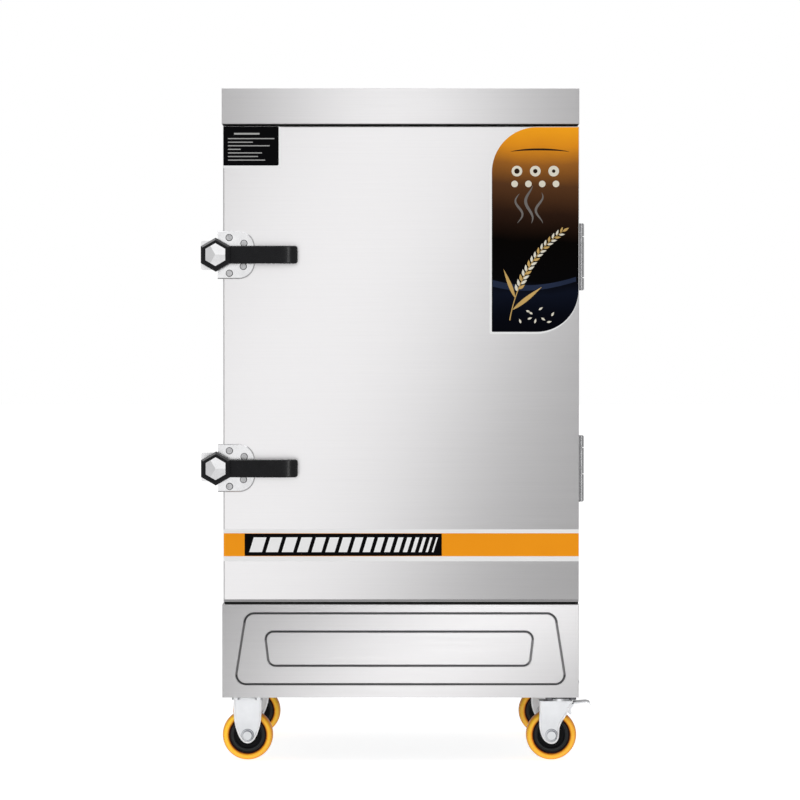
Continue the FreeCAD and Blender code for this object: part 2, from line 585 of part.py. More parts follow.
def latch_plate(zc):
    h, r = 47.0, 31.0
    left, right = -358.0, -285.5
    w = rounded([V(left, 0, zc - h), V(right, 0, zc - h), V(right, 0, zc + h), V(left, 0, zc + h)], [0, r, r, 0])
    plate = slab_y(w, PLATE_BACK, PLATE_FRONT)
    edges = [e for e in plate.Edges if e.BoundBox.YMax < PLATE_FRONT + 0.01 and e.BoundBox.XMax > left + 0.5]
    plate = plate.makeChamfer(2.0, edges)
    tongue = slab_y(rounded([V(-384, 0, zc - 17), V(-352, 0, zc - 17), V(-352, 0, zc + 17), V(-384, 0, zc + 17)], [12, 0, 0, 12]), PLATE_BACK, PLATE_FRONT)
    boss = cyl(LATCH_X, PLATE_BACK, zc, (0, 1, 0), 11.5, 10.0)
    boss = boss.common(box(-400, DOOR_X0 - 0.3, -310, -200, zc - 20, zc + 20))
    body = fuse(plate, tongue, boss)
    return body.cut(cyl(LATCH_X, -320, zc, (0, 1, 0), LATCH_SHAFT_R + RUN, 60))


SCREWS = ((-335.5, 33.9), (-306.5, 22.5), (-307.8, -22.5), (-335.2, -36.0))


def latch_screws():
    solids = []
    for zc in LATCH_Z:
        for x, dz in SCREWS:
            head = cyl(x, PLATE_FRONT - 2.6, zc + dz, (0, 1, 0), 7.0, 2.6)
            head = head.makeFillet(1.6, [e for e in head.Edges if e.BoundBox.YMax < PLATE_FRONT - 2.5])
            a = math.radians(35)
            for k in (0, 1):
                d = V(math.cos(a + k * math.pi / 2), 0, math.sin(a + k * math.pi / 2))
                n = V(-d.z, 0, d.x)
                c = V(x, PLATE_FRONT - 3.0, zc + dz)
                p = [c + d * 3.6 + n * 0.6, c - d * 3.6 + n * 0.6, c - d * 3.6 - n * 0.6, c + d * 3.6 - n * 0.6]
                head = head.cut(prism(p, V(0, 1.4, 0)))
            solids.append(head)
    return group(*solids)


def strike_plates():
    solids = []
    for zc in LATCH_Z:
        w = rounded([V(-393.5, 0, zc - 28.5), V(-350, 0, zc - 28.5), V(-350, 0, zc + 28.5), V(-393.5, 0, zc + 28.5)], [4, 0, 0, 4])
        front = slab_y(w, FACE_Y - 3.0, FACE_Y)
        slot = slab_y(rounded([V(-388.5, 0, zc - 9.5), V(-352, 0, zc - 9.5), V(-352, 0, zc + 9.5), V(-388.5, 0, zc + 9.5)], [4, 0, 0, 4]), FACE_Y - 10, FACE_Y + 5)
        leg = box(-352.0, -350.0, FACE_Y, FACE_Y + 42.0, zc - 28.5, zc + 28.5)
        rivets = [cyl(-353.2, FACE_Y + 26.0, zc + d, (1, 0, 0), 5.0, 1.3) for d in (-17, 17)]
        body = fuse(front, leg, *rivets).cut(slot)
        solids.append(body)
    return group(*solids)


def latch_lever(zc):
    hub = hex_y(LATCH_X, HUB_Y1, zc, HUB_FLATS, HUB_Y0 - HUB_Y1)
    front = [e for e in hub.Edges if e.BoundBox.YMax < HUB_Y1 + 0.01]
    hub = hub.makeChamfer(4.0, front)
    seat = hex_y(LATCH_X, HUB_Y1 - 1, zc, 38.6, 6.0)
    x0 = LATCH_X
    top = [(14, -313.5), (45, -318.0), (80, -321.5), (115, -322.5), (142, -320.0), (LEVER_LEN - 1.5, -312.0)]
    bot = [(LEVER_LEN, -318.5), (150, -328.0), (120, -333.0), (85, -332.5), (45, -328.5), (14, -324.0)]
    ct, cb = Part.BSplineCurve(), Part.BSplineCurve()
    ct.interpolate([V(x0 + a, b, zc - LEVER_H / 2) for a, b in top])
    cb.interpolate([V(x0 + a, b, zc - LEVER_H / 2) for a, b in bot])
    edges = [ct.toShape(), Part.LineSegment(V(x0 + top[-1][0], top[-1][1], zc - LEVER_H / 2), V(x0 + bot[0][0], bot[0][1], zc - LEVER_H / 2)).toShape(),
             cb.toShape(), Part.LineSegment(V(x0 + bot[-1][0], bot[-1][1], zc - LEVER_H / 2), V(x0 + top[0][0], top[0][1], zc - LEVER_H / 2)).toShape()]
    arm = Part.Face(Part.Wire(edges)).extrude(V(0, 0, LEVER_H))
    try:
        long = [e for e in arm.Edges if e.BoundBox.XLength > 100 and e.BoundBox.YMin < -330]
        arm = arm.makeFillet(3.0, long)
    except Exception:
        pass
    tip = rounded([V(x0 - 40, 0, zc - 60), V(x0 + LEVER_LEN, 0, zc - 60), V(x0 + LEVER_LEN, 0, zc + LEVER_H / 2), V(x0 - 40, 0, zc + LEVER_H / 2)], [0, 0, LEVER_TIP_R, 0])
    arm = arm.common(slab_y(tip, -340.0, -300.0))
    tip = rounded([V(x0 - 40, 0, zc - LEVER_H / 2), V(x0 + LEVER_LEN, 0, zc - LEVER_H / 2), V(x0 + LEVER_LEN, 0, zc + 60), V(x0 - 40, 0, zc + 60)], [0, LEVER_TIP_R, 0, 0])
    arm = arm.common(slab_y(tip, -340.0, -300.0))
    return fuse(hub, arm).cut(fuse(seat, cyl(LATCH_X, -340, zc, (0, 1, 0), LATCH_SHAFT_R, 60)))


def latch_shaft(zc):
    cap = hex_y(LATCH_X, HUB_Y1, zc, 38.6, 5.0)
    apex = V(LATCH_X, HUB_Y1 - 6.0, zc)
    # three low facets that meet on lines at 0, 120 and 240 degrees
    big = prism(hexagon(LATCH_X, zc, 38.6, HUB_Y1), V(0, -12, 0))
    slope = math.radians(14.0)
    for a in (60, 180, 300):
        d = V(math.cos(math.radians(a)), 0, math.sin(math.radians(a)))
        nrm = V(d.x * math.sin(slope), -math.cos(slope), d.z * math.sin(slope))
        plane = Part.makeBox(120, 120, 40, V(-60, -60, 0))
        rot = FreeCAD.Rotation(V(0, 0, 1), nrm)
        plane.Placement = FreeCAD.Placement(apex, rot)
        big = big.cut(plane)
    shaft = cyl(LATCH_X, HUB_Y1, zc, (0, 1, 0), LATCH_SHAFT_R, -241.0 - HUB_Y1)
    collar = cyl(LATCH_X, HUB_Y0, zc, (0, 1, 0), 10.5, PLATE_FRONT - 0.3 - HUB_Y0)
    lobe = fuse(cyl(LATCH_X, -248.5, zc, (0, 1, 0), 8.0, 7.5), box(LATCH_X - 24.5, LATCH_X, -248.5, -241.0, zc - 6.5, zc + 6.5))
    return fuse(cap, big, shaft, collar, lobe)


# ---- hinges -------------------------------------------------------------
# (z0, z1 of the door's knuckle) between the hinge's own ends
HINGES = (((932.5, 1061.5), (957.0, 1036.5)), ((515.5, 643.5), (569.5, 620.0)))


def hinge_ends():
    out = []
    for (z0, z1), (a, b) in HINGES:
        out.append((z0, z1, min(a, b), max(a, b)))
    return out


def knuckle(z0, z1):
    return ring_z(HINGE_X, HINGE_Y, z0, z1, HINGE_R, HINGE_PIN_R + 0.04)


def hinge_frame_leaves():
    solids = []
    for z0, z1, d0, d1 in hinge_ends():
        plate = box(350.0, 352.0, HINGE_Y + 8.5, HINGE_Y + 42.0, z0, z1)
        tabs = [box(350.0, 352.0, HINGE_Y, HINGE_Y + 9.0, a, b) for a, b in ((z0, d0 - 1.6), (d1 + 1.6, z1))]
        rivets = [cyl(351.5, HINGE_Y + 28.0, z, (1, 0, 0), 4.5, 1.6) for z in (z0 + 20, (z0 + z1) / 2, z1 - 20)]
        body = fuse(plate, *tabs, *rivets, knuckle(z0, d0 - 1.6), knuckle(d1 + 1.6, z1))
        solids.append(body.cut(cyl(HINGE_X, HINGE_Y, z0 - 5, (0, 0, 1), HINGE_PIN_R + 0.04, z1 - z0 + 10)))
    return group(*solids)


def hinge_door_leaves():
    solids = []
    for z0, z1, d0, d1 in hinge_ends():
        plate = box(350.0, 352.0, DOOR_FRONT + 3.5, HINGE_Y - 8.5, z0, z1)
        tab = box(350.0, 352.0, HINGE_Y - 9.0, HINGE_Y, d0, d1)
        rivets = [cyl(351.5, HINGE_Y - 27.0, z, (1, 0, 0), 4.5, 1.6) for z in (z0 + 20, (z0 + z1) / 2, z1 - 20)]
        body = fuse(plate, tab, *rivets, knuckle(d0, d1))
        solids.append(body.cut(cyl(HINGE_X, HINGE_Y, z0 - 5, (0, 0, 1), HINGE_PIN_R + 0.04, z1 - z0 + 10)))
    return group(*solids)


def hinge_pins():
    solids = []
    for z0, z1, d0, d1 in hinge_ends():
        pin = cyl(HINGE_X, HINGE_Y, z0, (0, 0, 1), HINGE_PIN_R, z1 - z0)
        ends = [cyl(HINGE_X, HINGE_Y, z0 - 1.5, (0, 0, 1), 4.6, 1.5), cyl(HINGE_X, HINGE_Y, z1, (0, 0, 1), 4.6, 1.5)]
        solids.append(fuse(pin, *ends))
    return group(*solids)


# ---- casters ------------------------------------------------------------
LEG_IN, LEG_OUT = 18.5, 21.0


def spline_wire(points, cx, cz):
    """Closed outline in the XZ plane: straight across the top, one spline down and round the axle."""
    pts = [V(cx + a, 0, cz + b) for a, b in points]
    curve = Part.BSplineCurve()
    curve.interpolate(pts)
    return Part.Wire([curve.toShape(), Part.LineSegment(pts[-1], pts[0]).toShape()])


def bolt_set(cx, cy):
    out = []
    for dx, dy in CASTER_BOLTS:
        x, y = cx + dx, cy + dy
        out.append(fuse(cyl(x, y, PLATE_Z0 - 0.5, (0, 0, 1), 3.95, 137.0 - PLATE_Z0 + 0.5), hex_z(x, y, PLATE_Z0 - 5.3, 13.0, 5.3)))
    return out


def axle_bolt(cx, cy):
    body = fuse(cyl(cx, cy - LEG_OUT - 1.6, WHEEL_R, (0, 1, 0), AXLE_R, 2 * LEG_OUT + 12.0),
                cyl(cx, cy - LEG_OUT - 1.6, WHEEL_R, (0, 1, 0), 11.0, 1.6),
                hex_y(cx, cy - LEG_OUT - 8.6, WHEEL_R, 18.0, 7.0),
                cyl(cx, cy + LEG_OUT, WHEEL_R, (0, 1, 0), 10.5, 1.5),
                hex_y(cx, cy + LEG_OUT + 1.5, WHEEL_R, 17.0, 8.0))
    return body


def rigid_forks():
    solids = []
    for yc in WHEEL_Y:
        cx = RIGID_X
        half = [(-27.6, 74.0), (-27.4, 42.0), (-24.8, 20.0), (-19.4, 3.0), (-10.6, -11.5), (0.0, -16.2)]
        pts = half + [(-a, b) for a, b in reversed(half[:-1])]
        w = spline_wire(pts, cx, WHEEL_R)
        legs = [slab_y(w, yc + a, yc + b) for a, b in ((-LEG_OUT, -LEG_IN), (LEG_IN, LEG_OUT))]
        crown = box(cx - 27.6, cx + 27.6, yc - LEG_OUT, yc + LEG_OUT, WHEEL_R + 71.5, WHEEL_R + 74.0)
        neck = box(cx - 24, cx + 24, yc - 18, yc + 18, WHEEL_R + 74.0, PLATE_Z0)
        plate = box(cx - 32, cx + 32, yc - 46, yc + 46, PLATE_Z0, Z_BOTTOM)
        body = fuse(*legs, crown, neck, plate)
        body = body.cut(cyl(cx, yc - 30, WHEEL_R, (0, 1, 0), AXLE_R + 0.02, 60))
        for dx, dy in CASTER_BOLTS:
            body = body.cut(cyl(cx + dx, yc + dy, 120, (0, 0, 1), 4.2, 20))
        solids += [body, axle_bolt(cx, yc)] + bolt_set(cx, yc)
    return group(*solids)


def swivel_plates():
    solids = []
    for yc in WHEEL_Y:
        cx = SWIVEL_X
        plate = box(cx - 32, cx + 32, yc - 46, yc + 46, PLATE_Z0, Z_BOTTOM)
        for dx, dy in CASTER_BOLTS:
            plate = plate.cut(cyl(cx + dx, yc + dy, 120, (0, 0, 1), 4.2, 20))
        race = ring_z(cx, yc, 122.6, PLATE_Z0, 27.0, 5.0)
        post = cyl(cx, yc, 108.2, (0, 0, 1), 6.0, 124.0 - 108.2)
        nut = hex_z(cx, yc, 108.2, 17.0, 6.0)
        solids += [fuse(plate, race, post, nut)] + bolt_set(cx, yc)
    return group(*solids)


def swivel_fork(yc):
    cx, zc = SWIVEL_AXLE_X, WHEEL_R
    pts = [(-23.8, 67.6), (-23.8, 40.0), (-23.8, 16.2), (-21.6, 5.0), (-16.4, -7.1), (-9.0, -14.4), (0.0, -17.2), (9.0, -14.4), (14.4, -5.1),
           (15.4, 6.1), (16.6, 16.2), (21.4, 27.6), (30.0, 40.5), (36.0, 52.0), (40.6, 63.0), (41.4, 67.6)]
    w = spline_wire(pts, cx, zc)
    legs = [slab_y(w, yc + a, yc + b) for a, b in ((-LEG_OUT, -LEG_IN), (LEG_IN, LEG_OUT))]
    crown = box(cx - 23.8, cx + 41.4, yc - LEG_OUT, yc + LEG_OUT, zc + 64.8, zc + 67.6)
    race = ring_z(SWIVEL_X, yc, zc + 67.6, 122.2, 24.0, 6.0 + RUN)
    body = fuse(*legs, crown, race)
    body = cut(body, cyl(SWIVEL_X, yc, 100, (0, 0, 1), 6.0 + RUN, 30), cyl(cx, yc - 30, zc, (0, 1, 0), AXLE_R + 0.02, 60),
               cyl(PEDAL_X, yc - 30, PEDAL_Z, (0, 1, 0), 2.5 + RUN, 60))
    return group(body, axle_bolt(cx, yc))


PEDAL_X, PEDAL_Z = 331.0, 103.5


def brake_pedal(yc):
    px, pz = PEDAL_X, PEDAL_Z
    pin = cyl(px, yc - 22.2, pz, (0, 1, 0), 2.5, 44.4)
    prof = [V(px - 5.5, 0, pz + 1.0), V(px - 2.0, 0, pz + 5.5), V(px + 8.0, 0, pz + 6.5), V(px + 13.0, 0, pz + 9.0),
            V(px + 13.0, 0, pz + 4.0), V(px + 7.5, 0, pz - 1.0), V(px + 8.5, 0, pz - 13.0)]
    face = [V(SWIVEL_AXLE_X + 54.8 * math.cos(math.radians(a)), 0, WHEEL_R + 54.8 * math.sin(math.radians(a))) for a in (46.5, 51.0, 55.5, 60.0)]
    arm = prism([V(p.x, yc - 14.0, p.z) for p in prof + face], V(0, 28.0, 0))
    tab = [V(px + 11.5, 0, pz + 11.5), V(px + 38.0, 0, pz + 13.5), V(px + 44.5, 0, pz + 11.5), V(px + 46.5, 0, pz + 6.0),
           V(px + 44.8, 0, pz + 5.8), V(px + 42.6, 0, pz + 9.8), V(px + 37.5, 0, pz + 11.2), V(px + 12.5, 0, pz + 8.0)]
    wide = prism([V(p.x, yc - 21.0, p.z) for p in tab], V(0, 42.0, 0))
    return fuse(pin, arm, wide)


def tyre(cx, cy):
    ri, ro, h = TYRE_IN_R, WHEEL_R, TYRE_W / 2

    def p(r, t):
        return V(cx + r, cy + t, WHEEL_R)
    edges = []
    for s in (-1, 1):
        side = [Part.LineSegment(p(ri, s * (h - 1.5)), p(ri + 2.2, s * h)).toShape(),
                Part.LineSegment(p(ri + 2.2, s * h), p(ro - 7.5, s * (h - 0.4))).toShape(),
                Part.Arc(p(ro - 7.5, s * (h - 0.4)), p(ro - 2.5, s * (h - 3.2)), p(ro - 0.3, s * (h - 8.4))).toShape()]
        edges.append(side)
    crown = Part.Arc(p(ro - 0.3, -(h - 8.4)), p(ro, 0.0), p(ro - 0.3, h - 8.4)).toShape()
    inner = Part.LineSegment(p(ri, h - 1.5), p(ri, -(h - 1.5))).toShape()
    wire = Part.Wire(Part.__sortEdges__(edges[0] + [crown] + edges[1] + [inner]))
    return Part.Face(wire).revolve(V(cx, cy, WHEEL_R), V(0, 1, 0), 360)


def hub(cx, cy):
    r0 = AXLE_R + RUN
    half = [(r0, 17.6), (13.5, 17.6), (15.0, 16.4), (15.0, 9.0), (25.5, 8.0), (26.5, 12.6), (29.5, 12.6), (30.5, 10.5), (33.0, 10.8),
            (34.0, 14.2), (TYRE_IN_R, 14.2)]
    prof = half + [(r, -t) for r, t in reversed(half)]
    return lathe_y(prof, cx, cy, WHEEL_R)


# ---- build --------------------------------------------------------------
node("base_frame", base_frame())
node("base_front_panel", base_front_panel())
node("left_side_panel", side_panel(-1))
node("right_side_panel", side_panel(1))
node("rear_panel", rear_panel())
node("top_panel", top_panel())
node("inner_liner", inner_liner())
node("body_insulation", body_insulation())
node("tray_racks", tray_racks())
for k in range(TRAY_N):
    node("tray_%d" % (k + 1), tray(k))
node("water_tank", water_tank())
node("baffle_plate", baffle_plate())
node("heating_elements", heating_elements())
node("feed_tank", feed_tank())
node("feed_tank_lid", feed_tank_lid())
node("float_valve", float_valve())
node("float_arm", float_arm())
node("water_pipes", water_pipes())
node("drain_valve", drain_valve())
node("drain_lever", drain_lever())
node("vent_pipe", vent_pipe())
node("control_box", control_box())
node("control_cover", control_cover())
node("control_electrics", control_electrics())
node("power_switch", power_switch())
node("timer_knob", timer_knob())
node("cable_gland", cable_gland())
node("door_outer_skin", door_outer_skin())
node("door_inner_skin", door_inner_skin())
node("door_insulation", door_insulation())
node("door_gasket", door_gasket())
node("latch_plates", group(*[latch_plate(z) for z in LATCH_Z]))
node("latch_screws", latch_screws())
node("strike_plates", strike_plates())
for label, z in zip(("upper", "lower"), LATCH_Z):
    node(label + "_latch_lever", latch_lever(z))
    node(label + "_latch_shaft", latch_shaft(z))
node("hinge_frame_leaves", hinge_frame_leaves())
node("hinge_door_leaves", hinge_door_leaves())
node("hinge_pins", hinge_pins())
node("rigid_forks", rigid_forks())
node("swivel_plates", swivel_plates())
for label, y in zip(("front", "rear"), WHEEL_Y):
    node("swivel_fork_" + label, swivel_fork(y))
    node("brake_pedal_" + label, brake_pedal(y))
    node("tyre_%s_left" % label, tyre(RIGID_X, y))
    node("hub_%s_left" % label, hub(RIGID_X, y))
    node("tyre_%s_right" % label, tyre(SWIVEL_AXLE_X, y))
    node("hub_%s_right" % label, hub(SWIVEL_AXLE_X, y))

whole = None
for name, shape in SHAPES.items():
    moved = shape.copy()
    moved.translate(V(OFF_X, OFF_Y, 0))
    solids = moved.Solids
    if not solids or not all(s.isValid() for s in solids):
        print("INVALID", name, len(solids))
    moved = solids[0] if len(solids) == 1 else Part.makeCompound(solids)
    moved.exportStep("parts/%s.step" % name)
    b = moved.optimalBoundingBox(False)
    whole = b if whole is None else whole.united(b)
    print("%-22s solids %2d  volume %12.0f  %7.1f x %7.1f x %7.1f" % (name, len(solids), moved.Volume, b.XLength, b.YLength, b.ZLength))
print("nodes", len(SHAPES))
print("box", [round(v, 3) for v in (whole.XMin, whole.XMax, whole.YMin, whole.YMax, whole.ZMin, whole.ZMax)])
print("offset error", round((whole.XMin + whole.XMax) / 2, 4), round((whole.YMin + whole.YMax) / 2, 4))
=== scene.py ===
import json
import math

import bmesh
import bpy
from mathutils import Matrix, Vector

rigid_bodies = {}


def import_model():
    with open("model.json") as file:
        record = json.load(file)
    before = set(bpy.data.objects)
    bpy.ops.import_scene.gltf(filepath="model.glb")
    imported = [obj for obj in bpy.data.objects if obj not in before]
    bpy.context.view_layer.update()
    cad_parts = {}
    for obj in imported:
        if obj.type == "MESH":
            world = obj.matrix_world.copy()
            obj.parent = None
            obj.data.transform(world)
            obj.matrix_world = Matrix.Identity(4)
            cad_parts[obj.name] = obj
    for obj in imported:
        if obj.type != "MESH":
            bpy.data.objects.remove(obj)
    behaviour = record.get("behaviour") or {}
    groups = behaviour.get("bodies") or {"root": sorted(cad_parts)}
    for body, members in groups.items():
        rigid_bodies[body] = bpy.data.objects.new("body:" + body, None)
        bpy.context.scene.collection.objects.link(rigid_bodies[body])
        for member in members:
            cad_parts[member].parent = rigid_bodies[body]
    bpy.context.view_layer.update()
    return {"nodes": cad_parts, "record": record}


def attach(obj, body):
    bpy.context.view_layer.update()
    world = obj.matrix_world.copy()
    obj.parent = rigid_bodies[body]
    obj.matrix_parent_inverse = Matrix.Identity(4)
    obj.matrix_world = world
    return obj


for o in list(bpy.data.objects):
    bpy.data.objects.remove(o)

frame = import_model()
nodes = frame["nodes"]
scene = bpy.context.scene

# Millimetres from the middle of the cabinet, as in the CAD, to metres in the row frame.
OX, OY = 8.0, -37.5


def P(x, y, z):
    return Vector(((x + OX) / 1000, (y + OY) / 1000, z / 1000))


# ---------------------------------------------------------------- camera and lights
cam_data = bpy.data.cameras.new("camera")
cam_data.sensor_width = 36.0
cam_data.lens = 160.7
cam = bpy.data.objects.new("camera", cam_data)
scene.collection.objects.link(cam)
cam.location = P(-1.0, -7300.0, 868.6)
target = P(-1.0, -300.0, 715.7)
cam.rotation_mode = "QUATERNION"
cam.rotation_quaternion = (target - cam.location).to_track_quat("-Z", "Y")
cam_data.clip_start, cam_data.clip_end = 0.05, 100
scene.camera = cam
scene.view_settings.view_transform = "Standard"
scene.view_settings.look = "None"
scene.view_settings.exposure = 0.0
scene.view_settings.gamma = 1.0


def softbox(name, loc, aim, w, h, radiance, color=(1, 1, 1)):
    data = bpy.data.lights.new(name, "AREA")
    data.shape = "RECTANGLE"
    data.size, data.size_y = w, h
    data.energy = radiance * math.pi * w * h
    data.color = color
    ob = bpy.data.objects.new(name, data)
    scene.collection.objects.link(ob)
    ob.location = loc
    ob.rotation_mode = "QUATERNION"
    ob.rotation_quaternion = (Vector(aim) - Vector(loc)).to_track_quat("-Z", "Y")
    return ob


world = bpy.data.worlds.new("studio")
scene.world = world
world.use_nodes = True
wt = world.node_tree
wt.nodes.clear()
w_out = wt.nodes.new("ShaderNodeOutputWorld")
w_mix = wt.nodes.new("ShaderNodeMixShader")
w_seen = wt.nodes.new("ShaderNodeBackground")
w_lit = wt.nodes.new("ShaderNodeBackground")
w_path = wt.nodes.new("ShaderNodeLightPath")
w_seen.inputs[0].default_value = (1, 1, 1, 1)
w_seen.inputs[1].default_value = 1.0
w_lit.inputs[0].default_value = (1, 1, 1, 1)
w_lit.inputs[1].default_value = 0.38
wt.links.new(w_path.outputs["Is Camera Ray"], w_mix.inputs[0])
wt.links.new(w_lit.outputs[0], w_mix.inputs[1])
wt.links.new(w_seen.outputs[0], w_mix.inputs[2])
wt.links.new(w_mix.outputs[0], w_out.inputs[0])



def link_to(light, names):
    """The light falls on these pieces only."""
    col = bpy.data.collections.new(light.name + "_receivers")
    for n in names:
        col.objects.link(nodes[n])
    light.light_linking.receiver_collection = col


SMALL = ["latch_plates", "latch_screws", "strike_plates"]
CAPS = ["upper_latch_shaft", "lower_latch_shaft"]
HINGES = ["hinge_frame_leaves", "hinge_door_leaves", "hinge_pins"]
FEET = ["rigid_forks", "swivel_plates", "swivel_fork_front", "swivel_fork_rear", "brake_pedal_front", "brake_pedal_rear"]
TYRES = [n for n in nodes if n.startswith("tyre_")]
HUBS = [n for n in nodes if n.startswith("hub_")]
BLACK = ["upper_latch_lever", "lower_latch_lever"]

key = softbox("key_door", (-0.215, -1.75, 0.80), (-0.215, 0.0, 0.80), 0.83, 2.6, 0.82)
key.rotation_quaternion = key.rotation_quaternion @ Matrix.Rotation(math.radians(-20), 4, "Z").to_quaternion()
band = softbox("key_band", (-0.01, -1.75, 1.35), (-0.01, 0.0, 1.35), 0.44, 0.9, 1.22)
base = softbox("key_base", (0.40, -1.75, 0.34), (0.40, 0.0, 0.24), 0.31, 1.7, 1.70)
base.rotation_quaternion = base.rotation_quaternion @ Matrix.Rotation(math.radians(-52), 4, "Z").to_quaternion()
link_to(band, ["top_panel"])
link_to(base, ["base_front_panel"])
link_to(key, [n for n in nodes if n not in ["top_panel", "base_front_panel"] + SMALL + CAPS + HINGES + FEET + TYRES + HUBS + BLACK])
small = softbox("small_front", (-0.50, -2.2, 0.9), (-0.34, 0.0, 0.9), 0.55, 2.0, 0.70)
s_l = softbox("small_left", (-1.9, -1.7, 1.1), (0.0, -0.3, 0.8), 0.4, 2.2, 1.7)
s_r = softbox("small_right", (1.7, -2.0, 1.3), (0.0, -0.3, 0.8), 0.35, 2.2, 1.5)
s_k = softbox("small_above", (0.55, -1.9, 2.1), (-0.3, -0.3, 0.8), 1.0, 0.6, 1.5)
f_f = softbox("feet_front", (0.0, -1.9, 0.34), (0.0, 0.0, 0.2), 1.5, 0.7, 2.1)
w_l = softbox("wheel_left", (-1.3, -1.4, 0.95), (0.0, -0.25, 0.05), 0.8, 0.8, 5.0, (1.0, 1.0, 0.05))
w_r = softbox("wheel_right", (1.3, -1.2, 0.24), (0.0, -0.25, 0.06), 0.8, 0.36, 3.4, (1.0, 0.2, 0.04))
w_f = softbox("wheel_front", (-0.3, -2.2, 0.8), (0.0, 0.0, 0.05), 1.2, 0.6, 0.7, (1.0, 0.62, 0.3))
h_f = softbox("hub_front", (-0.6, -1.9, 0.9), (0.0, 0.0, 0.05), 1.2, 0.5, 0.9)
b_l = softbox("black_edge", (-1.15, -0.40, 2.35), (-0.36, -0.34, 0.8), 1.1, 0.9, 6.5)
b_r = softbox("black_right", (0.45, -0.40, 2.2), (-0.36, -0.34, 0.8), 0.8, 0.6, 1.6)
b_e = softbox("black_end", (0.52, -1.75, 0.8), (-0.22, -0.33, 0.8), 0.26, 1.9, 4.2)
c_u = softbox("cap_upper", (0.10, -1.95, 1.60), (-0.36, -0.34, 0.8), 0.9, 1.1, 0.74)
c_d = softbox("cap_lower", (0.10, -1.95, 0.06), (-0.36, -0.34, 0.8), 0.9, 0.7, 0.62)
c_l = softbox("cap_left", (-1.25, -1.95, 0.8), (-0.36, -0.34, 0.8), 0.6, 1.8, 0.34)
g_l = softbox("hinge_left", (-0.75, -1.6, 0.8), (0.36, -0.25, 0.8), 0.42, 2.4, 4.5)
g_r = softbox("hinge_right", (1.05, -1.75, 0.8), (0.36, -0.25, 0.8), 0.2, 2.4, 2.8)
g_e = softbox("hinge_edge", (2.1, -0.2, 0.8), (0.36, -0.25, 0.8), 0.4, 2.4, 0.9)
link_to(small, SMALL)
for light in (s_l, s_r, s_k):
    link_to(light, SMALL + FEET)
link_to(f_f, FEET)
link_to(w_l, TYRES)
link_to(w_r, TYRES)
link_to(w_f, TYRES)
link_to(h_f, HUBS)
for light in (b_l, b_r, b_e):
    link_to(light, BLACK)
for light in (c_u, c_d, c_l):
    link_to(light, CAPS)
for light in (g_l, g_r, g_e):
    link_to(light, HINGES)
softbox("top_soft", (0.0, -0.8, 3.2), (0.0, 0.0, 0.6), 2.6, 2.6, 0.9)

# strips beside, behind and above the cabinet, for its sides, back and top
RIGHT = ["right_side_panel"]
LEFT = ["left_side_panel"]
BACK = ["rear_panel", "control_box", "control_cover", "feed_tank", "feed_tank_lid", "vent_pipe", "drain_valve", "drain_lever", "float_valve", "cable_gland", "timer_knob", "control_electrics", "power_switch"]
for name, loc, aim, w, h, power, who in (
        ("right_near", (2.3, 0.45, 1.0), (0.38, 0.1, 0.8), 0.75, 2.3, 1.25, RIGHT), ("right_far", (2.2, 2.35, 1.0), (0.38, 0.1, 0.8), 0.8, 2.4, 1.05, RIGHT), ("right_front", (2.2, -2.3, 1.0), (0.38, 0.0, 0.8), 0.7, 2.3, 0.9, RIGHT),
        ("left_near", (-2.3, 0.45, 1.0), (-0.36, 0.1, 0.8), 0.75, 2.3, 1.25, LEFT), ("left_far", (-2.2, 2.35, 1.0), (-0.36, 0.1, 0.8), 0.8, 2.4, 1.05, LEFT), ("left_front", (-2.2, -2.3, 1.0), (-0.36, 0.0, 0.8), 0.7, 2.3, 0.9, LEFT),
        ("back_mid", (-0.25, 2.6, 1.0), (-0.1, 0.3, 0.75), 0.6, 2.3, 1.1, BACK), ("back_right", (1.75, 2.4, 1.0), (0.0, 0.3, 0.75), 0.7, 2.3, 1.3, BACK),
        ("back_left", (-1.85, 2.4, 1.0), (0.0, 0.3, 0.75), 0.7, 2.3, 1.3, BACK), ("top_back", (-0.5, 2.9, 2.6), (0.0, 0.0, 1.33), 2.0, 0.9, 1.3, ["top_panel"]),
        ("top_high", (0.55, 1.5, 3.3), (0.0, 0.0, 1.33), 1.1, 1.0, 1.0, ["top_panel"]), ("front_left", (-2.2, -2.0, 1.0), (-0.1, -0.3, 0.7), 0.6, 2.3, 0.8, ["top_panel", "base_front_panel", "door_outer_skin"]), ("front_right", (2.2, -2.0, 1.0), (0.1, -0.3, 0.7), 0.6, 2.3, 0.8, ["top_panel", "base_front_panel", "door_outer_skin"])):
    link_to(softbox(name, loc, aim, w, h, power), who)


